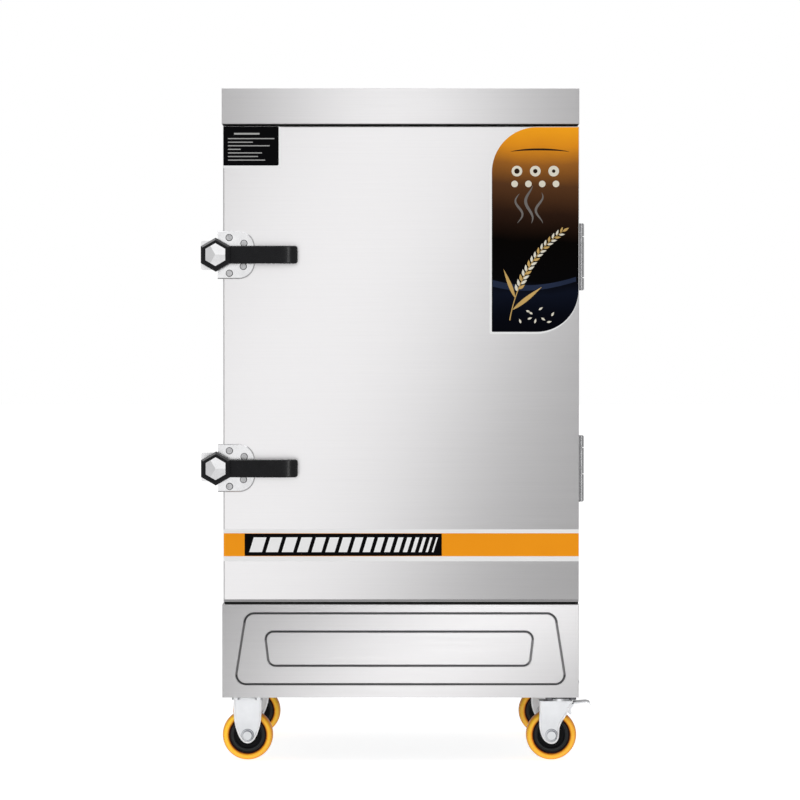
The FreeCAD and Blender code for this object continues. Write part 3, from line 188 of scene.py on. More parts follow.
# ---------------------------------------------------------------- materials
class Mat:
    """A principled material with object-space coordinates and a few node helpers."""

    def __init__(self, name, color=(0.8, 0.8, 0.8), metallic=0.0, rough=0.5, spec=0.5, coat=0.0, coat_rough=0.05, aniso=0.0):
        self.m = bpy.data.materials.new(name)
        self.m.use_nodes = True
        self.nt = self.m.node_tree
        self.b = self.nt.nodes["Principled BSDF"]
        self.b.inputs["Base Color"].default_value = (*color, 1)
        self.b.inputs["Metallic"].default_value = metallic
        self.b.inputs["Roughness"].default_value = rough
        self.b.inputs["Specular IOR Level"].default_value = spec
        if coat:
            self.b.inputs["Coat Weight"].default_value = coat
            self.b.inputs["Coat Roughness"].default_value = coat_rough
        if aniso:
            self.b.inputs["Anisotropic"].default_value = aniso
        self.m.diffuse_color = (*color, 1)

    def node(self, kind, **values):
        n = self.nt.nodes.new(kind)
        for k, v in values.items():
            if k in n.inputs:
                n.inputs[k].default_value = v
            else:
                setattr(n, k, v)
        return n

    def link(self, a, b):
        self.nt.links.new(a, b)

    def coords(self, scale=(1, 1, 1), rot=(0, 0, 0)):
        tc = self.node("ShaderNodeTexCoord")
        mp = self.node("ShaderNodeMapping")
        mp.inputs["Scale"].default_value = scale
        mp.inputs["Rotation"].default_value = rot
        self.link(tc.outputs["Object"], mp.inputs["Vector"])
        return mp.outputs[0]

    def noise(self, scale=(1, 1, 1), size=1.0, detail=3.0, rough=0.5, distortion=0.0):
        n = self.node("ShaderNodeTexNoise")
        n.inputs["Scale"].default_value = size
        n.inputs["Detail"].default_value = detail
        n.inputs["Roughness"].default_value = rough
        n.inputs["Distortion"].default_value = distortion
        self.link(self.coords(scale), n.inputs["Vector"])
        return n.outputs[0]

    def remap(self, value, lo, hi, a=0.0, b=1.0):
        r = self.node("ShaderNodeMapRange")
        r.inputs["From Min"].default_value = a
        r.inputs["From Max"].default_value = b
        r.inputs["To Min"].default_value = lo
        r.inputs["To Max"].default_value = hi
        self.link(value, r.inputs[0])
        return r.outputs[0]

    def ramp(self, value, stops):
        r = self.node("ShaderNodeValToRGB")
        e = r.color_ramp.elements
        while len(e) > 2:
            e.remove(e[-1])
        for k, (p, c) in enumerate(stops):
            el = e[k] if k < 2 else e.new(p)
            el.position = p
            el.color = (*c, 1)
        self.link(value, r.inputs[0])
        return r.outputs[0]

    def mix(self, fac, a, b):
        m = self.node("ShaderNodeMix", data_type="RGBA")
        if isinstance(fac, float):
            m.inputs[0].default_value = fac
        else:
            self.link(fac, m.inputs[0])
        for sock, v in ((m.inputs[6], a), (m.inputs[7], b)):
            if isinstance(v, tuple):
                sock.default_value = (*v, 1)
            else:
                self.link(v, sock)
        return m.outputs[2]

    def math(self, op, a, b=0.0):
        m = self.node("ShaderNodeMath", operation=op)
        for sock, v in ((m.inputs[0], a), (m.inputs[1], b)):
            if isinstance(v, (int, float)):
                sock.default_value = v
            else:
                self.link(v, sock)
        return m.outputs[0]

    def bump(self, height, strength=0.1, distance=0.001):
        b = self.node("ShaderNodeBump")
        b.inputs["Strength"].default_value = strength
        b.inputs["Distance"].default_value = distance
        self.link(height, b.inputs["Height"])
        if self.b.inputs["Normal"].is_linked:
            self.link(self.b.inputs["Normal"].links[0].from_socket, b.inputs["Normal"])
        self.link(b.outputs[0], self.b.inputs["Normal"])

    def set(self, name, socket):
        self.link(socket, self.b.inputs[name])


def brushed(name, tone, along="x", rough=(0.3, 0.36), grain=0.022, cloud=0.008, tint=(1.012, 1.0, 1.008)):
    """Brushed stainless sheet: fine lines along one direction, faint cloudiness in tone and gloss."""
    m = Mat(name, (tone, tone, tone), 1.0, rough[0])
    fine = {"x": (6, 900, 900), "y": (900, 6, 900), "z": (900, 900, 6)}[along]
    mid = {"x": (1.5, 160, 160), "y": (160, 1.5, 160), "z": (160, 160, 1.5)}[along]
    lines = m.noise(fine, 1.0, 2.0, 0.6)
    streaks = m.noise(mid, 1.0, 3.0, 0.6)
    clouds = m.noise((2.2, 2.2, 2.2), 1.0, 2.0, 0.5)
    both = m.math("ADD", m.math("MULTIPLY", lines, 0.6), m.math("MULTIPLY", streaks, 0.4))
    lo = tuple(max(0.0, (tone - grain - cloud) * t) for t in tint)
    hi = tuple(min(1.0, (tone + grain + cloud) * t) for t in tint)
    shade = m.math("ADD", m.math("MULTIPLY", both, 0.8), m.math("MULTIPLY", clouds, 0.2))
    m.set("Base Color", m.ramp(shade, [(0.25, lo), (0.75, hi)]))
    m.set("Roughness", m.remap(both, rough[0], rough[1], 0.3, 0.7))
    m.bump(lines, 0.05, 0.0004)
    return m


MATS = {}
MATS["casing_steel"] = brushed("casing_steel", 0.80, "x")
MATS["side_steel"] = brushed("side_steel", 0.78, "z")
MATS["door_steel"] = brushed("door_steel", 0.82, "x")
MATS["liner_steel"] = brushed("liner_steel", 0.72, "z", (0.2, 0.3))
MATS["tray_steel"] = brushed("tray_steel", 0.74, "x", (0.22, 0.3))


def simple(name, *a, **k):
    MATS[name] = Mat(name, *a, **k)
    return MATS[name]


def radial(m, reach):
    """Distance from the part's own axis (along Y) in millimetres, from its box, so it turns with the part."""
    tc = m.node("ShaderNodeTexCoord")
    sep = m.node("ShaderNodeSeparateXYZ")
    m.link(tc.outputs["Generated"], sep.inputs[0])
    x = m.math("SUBTRACT", sep.outputs[0], 0.5)
    z = m.math("SUBTRACT", sep.outputs[2], 0.5)
    r = m.math("SQRT", m.math("ADD", m.math("MULTIPLY", x, x), m.math("MULTIPLY", z, z)))
    return m.math("MULTIPLY", r, 2.0 * reach)


def cast_tone(name, color, metallic, rough, scale=60.0, vary=0.06, bump=0.05, spec=0.5, coat=0.0, dist=0.0004):
    """One colour with mottled tone, varied gloss and a fine surface."""
    m = simple(name, color, metallic, rough[0], spec, coat)
    n = m.noise((scale, scale, scale), 1.0, 4.0)
    m.set("Base Color", m.ramp(n, [(0.3, tuple(c * (1 - vary) for c in color)), (0.7, tuple(min(1, c * (1 + vary)) for c in color))]))
    m.set("Roughness", m.remap(m.noise((scale * 2.3,) * 3, 1.0, 2.0), rough[0], rough[1], 0.3, 0.7))
    m.bump(m.noise((scale * 14,) * 3, 1.0, 2.0), bump, dist)
    return m


m = simple("heater_steel", (0.42, 0.38, 0.34), 1.0, 0.32)
m.set("Base Color", m.ramp(m.noise((9, 30, 9), 1.0, 3.0), [(0.3, (0.30, 0.22, 0.16)), (0.5, (0.45, 0.38, 0.30)), (0.7, (0.42, 0.42, 0.46))]))
m.bump(m.noise((500, 500, 500), 1.0, 2.0), 0.1, 0.0004)
cast_tone("frame_steel", (0.28, 0.29, 0.3), 0.0, (0.4, 0.52), 40, 0.05, 0.08)
m = cast_tone("insulation", (0.75, 0.68, 0.42), 0.0, (0.9, 0.98), 30, 0.15, 0.6, 0.1, 0.0, 0.003)
cast_tone("polished_steel", (0.84, 0.84, 0.85), 1.0, (0.17, 0.24), 30, 0.025, 0.03)
cast_tone("screw_steel", (0.52, 0.52, 0.53), 1.0, (0.25, 0.36), 90, 0.06, 0.05)
cast_tone("zinc_plate", (0.80, 0.81, 0.83), 1.0, (0.30, 0.38), 45, 0.035, 0.05)
cast_tone("black_plastic", (0.006, 0.006, 0.007), 0.0, (0.22, 0.30), 70, 0.15, 0.06, 0.30)
m = cast_tone("control_plastic", (0.012, 0.012, 0.013), 0.0, (0.34, 0.42), 70, 0.15, 0.1, 0.4)
m = simple("hub_black", (0.006, 0.005, 0.006), 0.0, 0.36, 0.16)
# painted by radius on the black: a faint lighter ring and a grey ring at the rim as painted highlights, and a dark red
# ring at the rim's edge beside the tyre
m.set("Base Color", m.ramp(m.math("DIVIDE", radial(m, 37.0), 40.0), [(0.0, (0.003, 0.003, 0.004)), (0.52, (0.004, 0.004, 0.005)), (0.62, (0.012, 0.012, 0.015)), (0.68, (0.004, 0.004, 0.005)),
                                                                      (0.745, (0.045, 0.048, 0.05)), (0.825, (0.05, 0.05, 0.05)), (0.86, (0.006, 0.005, 0.006)), (0.885, (0.02, 0.003, 0.003)), (0.93, (0.04, 0.003, 0.002))]))
m.bump(m.noise((900, 900, 900), 1.0, 2.0), 0.06, 0.0003)
m = simple("orange_tyre", (0.95, 0.5, 0.03), 0.0, 0.28, 0.4, 0.15)
# painted by radius: dark red at the inner edge as painted shade against the hub, a lighter yellow ring across the
# middle of the side as a painted highlight, deeper orange towards the outer edge as painted shade
m.set("Base Color", m.ramp(m.math("DIVIDE", radial(m, 50.0), 50.0), [(0.735, (0.10, 0.012, 0.003)), (0.765, (0.78, 0.24, 0.012)), (0.81, (0.96, 0.5, 0.03)),
                                                                      (0.88, (0.99, 0.6, 0.05)), (0.95, (0.94, 0.44, 0.02)), (1.0, (0.85, 0.28, 0.01))]))
m.set("Roughness", m.remap(m.noise((60, 60, 60), 1.0, 3.0), 0.24, 0.34, 0.3, 0.7))
m.bump(m.noise((700, 700, 700), 1.0, 2.0), 0.05, 0.0003)
off = m.math("SUBTRACT", radial(m, 50.0), 43.0)
m.bump(m.math("MULTIPLY", m.math("MULTIPLY", off, off), -0.05), 1.0, 0.001)
cast_tone("black_rubber", (0.012, 0.012, 0.012), 0.0, (0.6, 0.75), 80, 0.2, 0.2, 0.2)
cast_tone("brass", (0.72, 0.52, 0.25), 1.0, (0.26, 0.38), 50, 0.06, 0.06)
cast_tone("red_grip", (0.5, 0.02, 0.012), 0.0, (0.3, 0.4), 60, 0.08, 0.08, 0.4)
cast_tone("grey_nylon", (0.16, 0.165, 0.17), 0.0, (0.45, 0.55), 70, 0.06, 0.1, 0.4)

def axis_offsets(m, ob, x, z):
    """Offsets in millimetres, across and up, from an axis along Y at x, z, in the piece's own coordinates."""
    c = ob.matrix_world.inverted() @ P(x, 0.0, z)
    tc = m.node("ShaderNodeTexCoord")
    sep = m.node("ShaderNodeSeparateXYZ")
    m.link(tc.outputs["Object"], sep.inputs[0])
    return [m.math("MULTIPLY", m.math("SUBTRACT", sep.outputs[k], c[k]), 1000.0) for k in (0, 2)]


def fork_metal_painted_shadow(name, node, x, z=50.0):
    """Zinc plate with painted shadow rings round the axle nut and its washer, strongest on the upper right."""
    m = cast_tone(name, (0.80, 0.81, 0.83), 1.0, (0.30, 0.38), 45, 0.035, 0.05)
    dx, dz = axis_offsets(m, nodes[node], x, z)
    r = m.math("SQRT", m.math("ADD", m.math("MULTIPLY", dx, dx), m.math("MULTIPLY", dz, dz)))
    # painted shadows: a dark ring between the nut and the washer, and one just outside the washer
    lines = m.ramp(m.math("DIVIDE", r, 20.0), [(0.0, (1, 1, 1)), (0.40, (0.98, 0.98, 0.98)), (0.455, (0.16, 0.17, 0.2)), (0.505, (0.24, 0.25, 0.28)), (0.53, (0.96, 0.96, 0.96)),
                                               (0.555, (0.92, 0.92, 0.92)), (0.575, (0.13, 0.14, 0.16)), (0.61, (0.22, 0.23, 0.26)), (0.66, (1, 1, 1))])
    # the painted shadow rings are full on the upper right and fade to about a third on the lower left
    toward_shadow_side = m.math("DIVIDE", m.math("ADD", dx, m.math("MULTIPLY", dz, 0.6)), m.math("ADD", r, 0.5))
    side = m.remap(toward_shadow_side, 0.35, 1.0, -1.0, 0.6)
    shade = m.mix(side, (1.0, 1.0, 1.0), lines)
    mul = m.node("ShaderNodeMix", data_type="RGBA", blend_type="MULTIPLY")
    mul.inputs[0].default_value = 1.0
    m.link(m.b.inputs["Base Color"].links[0].from_socket, mul.inputs[6])
    m.link(shade, mul.inputs[7])
    m.set("Base Color", mul.outputs[2])
    return m


fork_metal_painted_shadow("fork_rigid", "rigid_forks", -303.0)
fork_metal_painted_shadow("fork_swivel_front", "swivel_fork_front", 299.0)
fork_metal_painted_shadow("fork_swivel_rear", "swivel_fork_rear", 299.0)
# lighter, less metallic copy of the zinc for the fork rims: a painted highlight on their rolled edges
cast_tone("rim_zinc_painted_highlight", (0.93, 0.93, 0.94), 0.35, (0.30, 0.38), 45, 0.02, 0.03)
# dark steel for the swivel plates: a painted shadow for the gap of the ball race under the cabinet
cast_tone("race_steel_painted_shadow", (0.16, 0.16, 0.17), 0.9, (0.34, 0.44), 60, 0.08, 0.05)


def screw_metal_painted_shading():
    """Painted highlight on the flat of the head, painted shade where it rounds off and in the cross."""
    m = simple("screw_head", (0.6, 0.6, 0.6), 1.0, 0.3)
    tc = m.node("ShaderNodeTexCoord")
    sep = m.node("ShaderNodeSeparateXYZ")
    m.link(tc.outputs["Normal"], sep.inputs[0])
    # colour set by facing: a painted highlight where the face looks straight out, painted shade where it turns away
    flat = m.math("ABSOLUTE", sep.outputs[1])
    tone = m.ramp(m.math("ADD", flat, m.remap(m.noise((300, 300, 300), 1.0, 2.0), -0.03, 0.03, 0.3, 0.7)), [(0.0, (0.02, 0.02, 0.022)), (0.75, (0.05, 0.05, 0.055)), (0.95, (0.14, 0.14, 0.15)), (0.99, (0.66, 0.66, 0.67))])
    m.set("Base Color", tone)
    m.set("Roughness", m.remap(m.noise((200, 200, 200), 1.0, 2.0), 0.26, 0.36, 0.3, 0.7))
    return m


screw_metal_painted_shading()


def bead_shade(key):
    """Paints shade into the floor of the pressed beads of the base panel, darker the deeper it lies behind its front.
    """
    m = MATS[key]
    lo, hi = P(-336.0, -300.0, 150.0), P(336.0, -300.0, 301.0)
    tc = m.node("ShaderNodeTexCoord")
    sep = m.node("ShaderNodeSeparateXYZ")
    m.link(tc.outputs["Object"], sep.inputs[0])
    depth = m.math("MULTIPLY", m.math("SUBTRACT", sep.outputs[1], lo[1]), 1000.0)
    across = m.math("ABSOLUTE", m.math("SUBTRACT", sep.outputs[0], (lo[0] + hi[0]) / 2))
    zone = m.math("MULTIPLY", m.math("LESS_THAN", across, (hi[0] - lo[0]) / 2),
                  m.math("MULTIPLY", m.math("GREATER_THAN", sep.outputs[2], lo[2]), m.math("LESS_THAN", sep.outputs[2], hi[2])))
    # painted shade: none down to 0.7 mm deep, full from 1.5 mm deep in the beads
    painted_shade = m.math("MULTIPLY", zone, m.remap(depth, 0.0, 1.0, 0.7, 1.5))
    mm = m.math("MULTIPLY", across, 1000.0)
    up = m.math("MULTIPLY", sep.outputs[2], 1000.0)

    def within(v, a, b):
        return m.math("MULTIPLY", m.math("GREATER_THAN", v, a), m.math("LESS_THAN", v, b))
    # the painted shade is lighter on the slanted runs of the beads, which catch more light than the level ones
    upright = m.math("ADD", m.math("MULTIPLY", within(mm, 292.0, 340.0), within(up, 176.0, 278.0)), m.math("MULTIPLY", within(mm, 225.0, 268.0), within(up, 198.0, 244.0)))
    painted_shade = m.math("MULTIPLY", painted_shade, m.remap(upright, 1.0, 0.8, 0.0, 1.0))
    base_tone = m.b.inputs["Base Color"].links[0].from_socket
    m.set("Base Color", m.mix(painted_shade, base_tone, (0.1, 0.1, 0.105)))


MATS["bead_steel_painted_shade"] = brushed("bead_steel_painted_shade", 0.80, "x")
bead_shade("bead_steel_painted_shade")
cast_tone("hinge_steel", (0.50, 0.50, 0.51), 1.0, (0.14, 0.20), 60, 0.04, 0.03)
SLOT_OF = {s["node"]: s["material_slot"] for s in frame["record"]["subparts"]}
SPECIAL = {"base_front_panel": "bead_steel_painted_shade", "hinge_frame_leaves": "hinge_steel", "hinge_door_leaves": "hinge_steel", "hinge_pins": "hinge_steel", "latch_screws": "screw_head", "rigid_forks": "fork_rigid", "swivel_fork_front": "fork_swivel_front", "swivel_fork_rear": "fork_swivel_rear", "swivel_plates": "race_steel_painted_shadow", "power_switch": "control_plastic", "timer_knob": "control_plastic", "control_electrics": "control_plastic", "left_side_panel": "side_steel", "right_side_panel": "side_steel", "rear_panel": "side_steel"}
for name, ob in nodes.items():
    mat = MATS[SPECIAL.get(name) or SLOT_OF[name]].m
    ob.data.materials.clear()
    ob.data.materials.append(mat)


# ---------------------------------------------------------------- finish of the CAD pieces
def dress(name, width, angle=32.0, segments=2):
    """Breaks the sharp edges of a CAD node, for the light to catch them. Its mesh is left alone: modifiers only."""
    ob = nodes[name]
    w = ob.modifiers.new("weld", "WELD")
    w.merge_threshold = 1e-5
    b = ob.modifiers.new("bevel", "BEVEL")
    b.width = width / 1000
    b.segments = segments
    b.limit_method = "ANGLE"
    b.angle_limit = math.radians(angle)
    b.use_clamp_overlap = True
    b.harden_normals = False
    n = ob.modifiers.new("normals", "WEIGHTED_NORMAL")
    n.keep_sharp = True
    n.weight = 60


def catmull(points, per=8, closed=False):
    """Smooth line through points, as a list of Vectors."""
    pts = [Vector(p) for p in points]
    out = []
    n = len(pts)
    for i in range(n if closed else n - 1):
        p0 = pts[(i - 1) % n] if closed or i > 0 else pts[0] * 2 - pts[1]
        p1, p2 = pts[i], pts[(i + 1) % n]
        p3 = pts[(i + 2) % n] if closed or i + 2 < n else pts[-1] * 2 - pts[-2]
        for k in range(per):
            t = k / per
            out.append(0.5 * (2 * p1 + (p2 - p0) * t + (2 * p0 - 5 * p1 + 4 * p2 - p3) * t * t + (3 * p1 - p0 - 3 * p2 + p3) * t ** 3))
    if not closed:
        out.append(pts[-1])
    return out


def tube_mesh(lines, radius, sides=8):
    """Vertices and faces of round tubes along lines of frame points, with closed ends."""
    verts, faces = [], []
    for line in lines:
        s = len(verts)
        n = len(line)
        for i, p in enumerate(line):
            d = (line[min(n - 1, i + 1)] - line[max(0, i - 1)]).normalized()
            a = d.cross(Vector((0, 1, 0)))
            a = a.normalized() if a.length > 1e-6 else Vector((1, 0, 0))
            b = d.cross(a).normalized()
            for k in range(sides):
                t = 2 * math.pi * k / sides
                verts.append(p + a * (radius * math.cos(t)) + b * (radius * math.sin(t)))
        for i in range(n - 1):
            for k in range(sides):
                j = (k + 1) % sides
                faces.append((s + i * sides + k, s + i * sides + j, s + (i + 1) * sides + j, s + (i + 1) * sides + k))
        faces.append(tuple(s + k for k in range(sides))[::-1])
        faces.append(tuple(s + (n - 1) * sides + k for k in range(sides)))
    return verts, faces


for name in ("upper_latch_lever", "lower_latch_lever"):
    dress(name, 1.3, 30, 3)
for name in ("rigid_forks", "swivel_fork_front", "swivel_fork_rear"):
    dress(name, 0.9, 35, 2)
for name in ("brake_pedal_front", "brake_pedal_rear", "strike_plates", "control_box", "control_cover", "feed_tank_lid", "power_switch", "timer_knob"):
    dress(name, 0.6, 35, 2)
for name in ("latch_plates", "upper_latch_shaft", "lower_latch_shaft"):
    dress(name, 0.5, 28, 2)


# ---------------------------------------------------------------- films on the door
DOOR_Y = -298.0


def new_object(name, verts, faces, mat, body):
    me = bpy.data.meshes.new(name)
    me.from_pydata([tuple(v) for v in verts], [], faces)
    me.validate()
    me.update()
    ob = bpy.data.objects.new(name, me)
    scene.collection.objects.link(ob)
    me.materials.append(mat)
    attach(ob, body)
    return ob


def film(name, outlines, y_back, thick, mat, body="door", mats=None):
    """Thin solids cut to outlines in the door's plane: each outline is a list of (x, z) in millimetres."""
    verts, faces, mi = [], [], []
    for k, line in enumerate(outlines):
        n, s = len(line), len(verts)
        area = sum(line[i][0] * line[(i + 1) % n][1] - line[(i + 1) % n][0] * line[i][1] for i in range(n))
        if area < 0:
            line = line[::-1]
        verts += [P(x, y_back - thick, z) for x, z in line] + [P(x, y_back, z) for x, z in line]
        faces.append(tuple(range(s, s + n)))
        faces.append(tuple(range(s + 2 * n - 1, s + n - 1, -1)))
        for i in range(n):
            j = (i + 1) % n
            faces.append((s + i, s + n + i, s + n + j, s + j))
        mi += [k] * (n + 2)
    ob = new_object(name, verts, faces, mat, body)
    bm = bmesh.new()
    bm.from_mesh(ob.data)
    bmesh.ops.recalc_face_normals(bm, faces=bm.faces)
    bm.to_mesh(ob.data)
    bm.free()
    return ob


def arc(cx, cz, r, a0, a1, n=16):
    return [(cx + r * math.cos(math.radians(a0 + (a1 - a0) * k / n)), cz + r * math.sin(math.radians(a0 + (a1 - a0) * k / n))) for k in range(n + 1)]


def round_rect(x0, x1, z0, z1, r_bl=0.0, r_br=0.0, r_tr=0.0, r_tl=0.0, n=16):
    out = []
    for cx, cz, r, a in ((x0 + r_bl, z0 + r_bl, r_bl, 180), (x1 - r_br, z0 + r_br, r_br, 270), (x1 - r_tr, z1 - r_tr, r_tr, 0), (x0 + r_tl, z1 - r_tl, r_tl, 90)):
        out += arc(cx, cz, r, a, a + 90, n) if r > 0 else [(cx, cz)]
    return out


def ribbon(points, widths):
    """Outline of a stroke along points (x, z) with a width at each."""
    left, right = [], []
    for k, (p, w) in enumerate(zip(points, widths)):
        a = points[max(0, k - 1)]
        b = points[min(len(points) - 1, k + 1)]
        d = Vector((b[0] - a[0], b[1] - a[1])).normalized()
        left.append((p[0] - d.y * w / 2, p[1] + d.x * w / 2))
        right.append((p[0] + d.y * w / 2, p[1] - d.x * w / 2))
    return left + right[::-1]


def vinyl(name, color, rough=0.42, vary=0.03, spec=0.12):
    m = Mat(name, color, 0.0, rough, spec)
    n = m.noise((14, 14, 14), 1.0, 3.0)
    lo = tuple(max(0, c * (1 - vary)) for c in color)
    hi = tuple(min(1, c * (1 + vary)) for c in color)
    m.set("Base Color", m.ramp(n, [(0.3, lo), (0.7, hi)]))
    m.set("Roughness", m.remap(m.noise((40, 40, 40), 1.0, 2.0), rough - 0.04, rough + 0.05, 0.3, 0.7))
    m.bump(m.noise((260, 260, 260), 1.0, 3.0), 0.04, 0.0003)
    return m


V_WHITE = vinyl("vinyl_white", (0.93, 0.93, 0.93), 0.4, 0.015)
V_ORANGE = vinyl("vinyl_orange", (1.0, 0.345, 0.006), 0.4, 0.02, 0.12)
V_BLACK = vinyl("vinyl_black", (0.0025, 0.0025, 0.003), 0.5, 0.1, 0.04)

# the stripe: a white band, an orange one on it, a black field with a plain run of slanted bars
film("stripe_white", [round_rect(-347.0, 350.0, 399.0, 461.7)], DOOR_Y, 0.12, V_WHITE.m)
film("stripe_orange", [round_rect(-347.0, 350.0, 408.9, 454.0)], DOOR_Y - 0.12, 0.1, V_ORANGE.m)
film("stripe_black", [round_rect(-306.0, 81.0, 409.6, 453.3, 1, 1, 1, 1, 4)], DOOR_Y - 0.22, 0.1, V_BLACK.m)
bars, x = [], -297.0
for k in range(17):
    w = 25.0 - k * 1.36
    bars.append([(x, 417.0), (x + w, 417.0), (x + w + 9.0, 446.0), (x + 9.0, 446.0)])
    x += w + 7.6
film("stripe_bars", bars, DOOR_Y - 0.32, 0.06, V_WHITE.m)

# the plain dark plate at the upper left corner of the door
film("plate_border", [round_rect(-346.8, -234.1, 1169.3, 1250.8, 1.5, 6.5, 1.5, 1.5, 7)], DOOR_Y, 0.12, V_WHITE.m)
film("plate_field", [round_rect(-346.8, -238.6, 1174.9, 1250.8, 1.5, 3.5, 1.5, 1.5, 6)], DOOR_Y - 0.12, 0.1, V_BLACK.m)
V_GREY = vinyl("vinyl_grey", (0.42, 0.42, 0.41))
rules = [round_rect(-326, -276, 1235.4, 1238.8, 1, 1, 1, 1, 3)]
for k in range(7):
    z = 1227.6 - k * 7.0
    rules.append(round_rect(-338, -247 - (0, 42, 9, 66, 24, 32, 18)[k], z - 0.95, z + 0.95, 0.8, 0.8, 0.8, 0.8, 3))
film("plate_rules", rules, DOOR_Y - 0.22, 0.05, V_GREY.m)


# the poster film: warm at the top, dark below, with a generic ear of grain, steam ribbons and leaves
PX0, PX1, PZ0, PZ1 = 174.6, 349.6, 845.0, 1250.8


def poster_ground():
    m = Mat("poster_ground", (0.2, 0.1, 0.03), 0.0, 0.4, 0.02)
    tc = m.node("ShaderNodeTexCoord")
    sep = m.node("ShaderNodeSeparateXYZ")
    m.link(tc.outputs["Object"], sep.inputs[0])
    z = m.remap(sep.outputs[2], 0.0, 1.0, PZ0 / 1000, PZ1 / 1000)
    wob = m.math("ADD", z, m.remap(m.noise((7, 7, 7), 1.0, 3.0), -0.02, 0.02, 0.3, 0.7))
    col = m.ramp(wob, [(0.0, (0.0018, 0.002, 0.0036)), (0.1, (0.0022, 0.003, 0.0065)), (0.2, (0.0045, 0.0065, 0.015)), (0.27, (0.002, 0.0018, 0.0022)),
                       (0.45, (0.002, 0.0014, 0.001)), (0.58, (0.026, 0.011, 0.006)), (0.72, (0.1, 0.04, 0.015)), (0.83, (0.33, 0.12, 0.02)),
                       (0.92, (0.8, 0.29, 0.015)), (1.0, (1.0, 0.4, 0.015))])
    m.set("Base Color", col)
    m.set("Roughness", m.remap(m.noise((40, 40, 40), 1.0, 2.0), 0.26, 0.34, 0.3, 0.7))
    m.bump(m.noise((260, 260, 260), 1.0, 3.0), 0.04, 0.0003)
    return m


V_POSTER = poster_ground()
film("poster_border", [round_rect(PX0, PX1, PZ0, PZ1, 3, 86, 1.5, 92, 28)], DOOR_Y, 0.12, V_WHITE.m)
film("poster_field", [round_rect(PX0 + 4.4, PX1 - 0.6, PZ0 + 4.2, PZ1 - 0.8, 2, 82, 1, 88, 28)], DOOR_Y - 0.12, 0.1, V_POSTER.m)


def bez(p0, p1, p2, p3, n=28):
    out = []
    for k in range(n + 1):
        t = k / n
        out.append(tuple((1 - t) ** 3 * a + 3 * t * (1 - t) ** 2 * b + 3 * t * t * (1 - t) * c + t ** 3 * d for a, b, c, d in zip(p0, p1, p2, p3)))
    return out


def leaf(cx, cz, ang, length, width, n=9):
    d = Vector((math.cos(ang), math.sin(ang)))
    q = Vector((-d.y, d.x))
    up, dn = [], []
    for k in range(n + 1):
        t = k / n
        w = width / 2 * math.sin(math.pi * t ** 0.8)
        c = Vector((cx, cz)) + d * (length * t)
        up.append(tuple(c + q * w))
        dn.append(tuple(c - q * w))
    return up + dn[-2:0:-1]


V_GOLD = vinyl("print_gold", (0.62, 0.4, 0.13), 0.34, 0.1)
V_CREAM = vinyl("print_cream", (0.78, 0.74, 0.62), 0.34, 0.05)
V_STEAM = vinyl("print_grey", (0.17, 0.155, 0.145), 0.34, 0.12)
V_BLUE = vinyl("print_blue", (0.014, 0.023, 0.055), 0.34, 0.15)
V_DARK = vinyl("print_dark", (0.02, 0.009, 0.004), 0.34, 0.1)

# ear of grain, curved across the lower half
stem = bez((214, 872), (226, 942), (262, 1010), (318, 1046), 40)
gold = [ribbon(stem, [2.0 - 1.2 * k / 40 for k in range(41)])]
cream = []
for k in range(11, 40):
    a, b = Vector(stem[k - 1]), Vector(stem[min(40, k + 1)])
    d = (b - a).normalized()
    ang = math.atan2(d.y, d.x)
    side = 1 if k % 2 else -1
    c = Vector(stem[k]) + Vector((-d.y, d.x)) * side * 1.2
    (cream if k % 3 else gold).append(leaf(c.x, c.y, ang + side * 0.55, 15.5 - 0.1 * k, 6.2 - 0.05 * k))
gold.append(leaf(stem[-1][0], stem[-1][1], math.atan2(0.6, 1.0), 14.0, 5.0))
gold.append(leaf(219, 892, math.radians(38), 74.0, 8.5, 16))
gold.append(leaf(225, 915, math.radians(112), 62.0, 7.5, 16))
film("poster_stems", gold, DOOR_Y - 0.22, 0.05, V_GOLD.m)
film("poster_grains", cream, DOOR_Y - 0.22, 0.06, V_CREAM.m)

# loose grains scattered at the foot
loose = []
for k, (x, z, a) in enumerate(((249, 874, 20), (263, 866, 75), (276, 877, -35), (236, 866, 110), (287, 868, 10), (259, 884, 150), (296, 880, 60), (246, 891, -20), (271, 892, 35))):
    loose.append(leaf(x, z, math.radians(a), 9.5, 4.0, 7))
film("poster_loose_grains", loose, DOOR_Y - 0.22, 0.05, V_CREAM.m)

# steam ribbons, and a dusky sweep behind them
steam = []
for x0, h, w in ((232, 58, 4.2), (252, 74, 5.4), (272, 60, 4.4)):
    pts = [(x0 + 7.0 * math.sin(2 * math.pi * k / 24 * 1.1 + x0), 1062 + h * k / 24) for k in range(25)]
    steam.append(ribbon(pts, [0.4 + w * math.sin(math.pi * k / 24) ** 0.8 for k in range(25)]))
film("poster_steam", steam, DOOR_Y - 0.22, 0.05, V_STEAM.m)
low = bez((180.3, 938), (215, 930), (258, 921), (344, 948), 24)
high = bez((344, 957), (262, 931), (216, 942), (180.3, 951), 24)
film("poster_sweep", [low + high], DOOR_Y - 0.22, 0.04, V_BLUE.m)

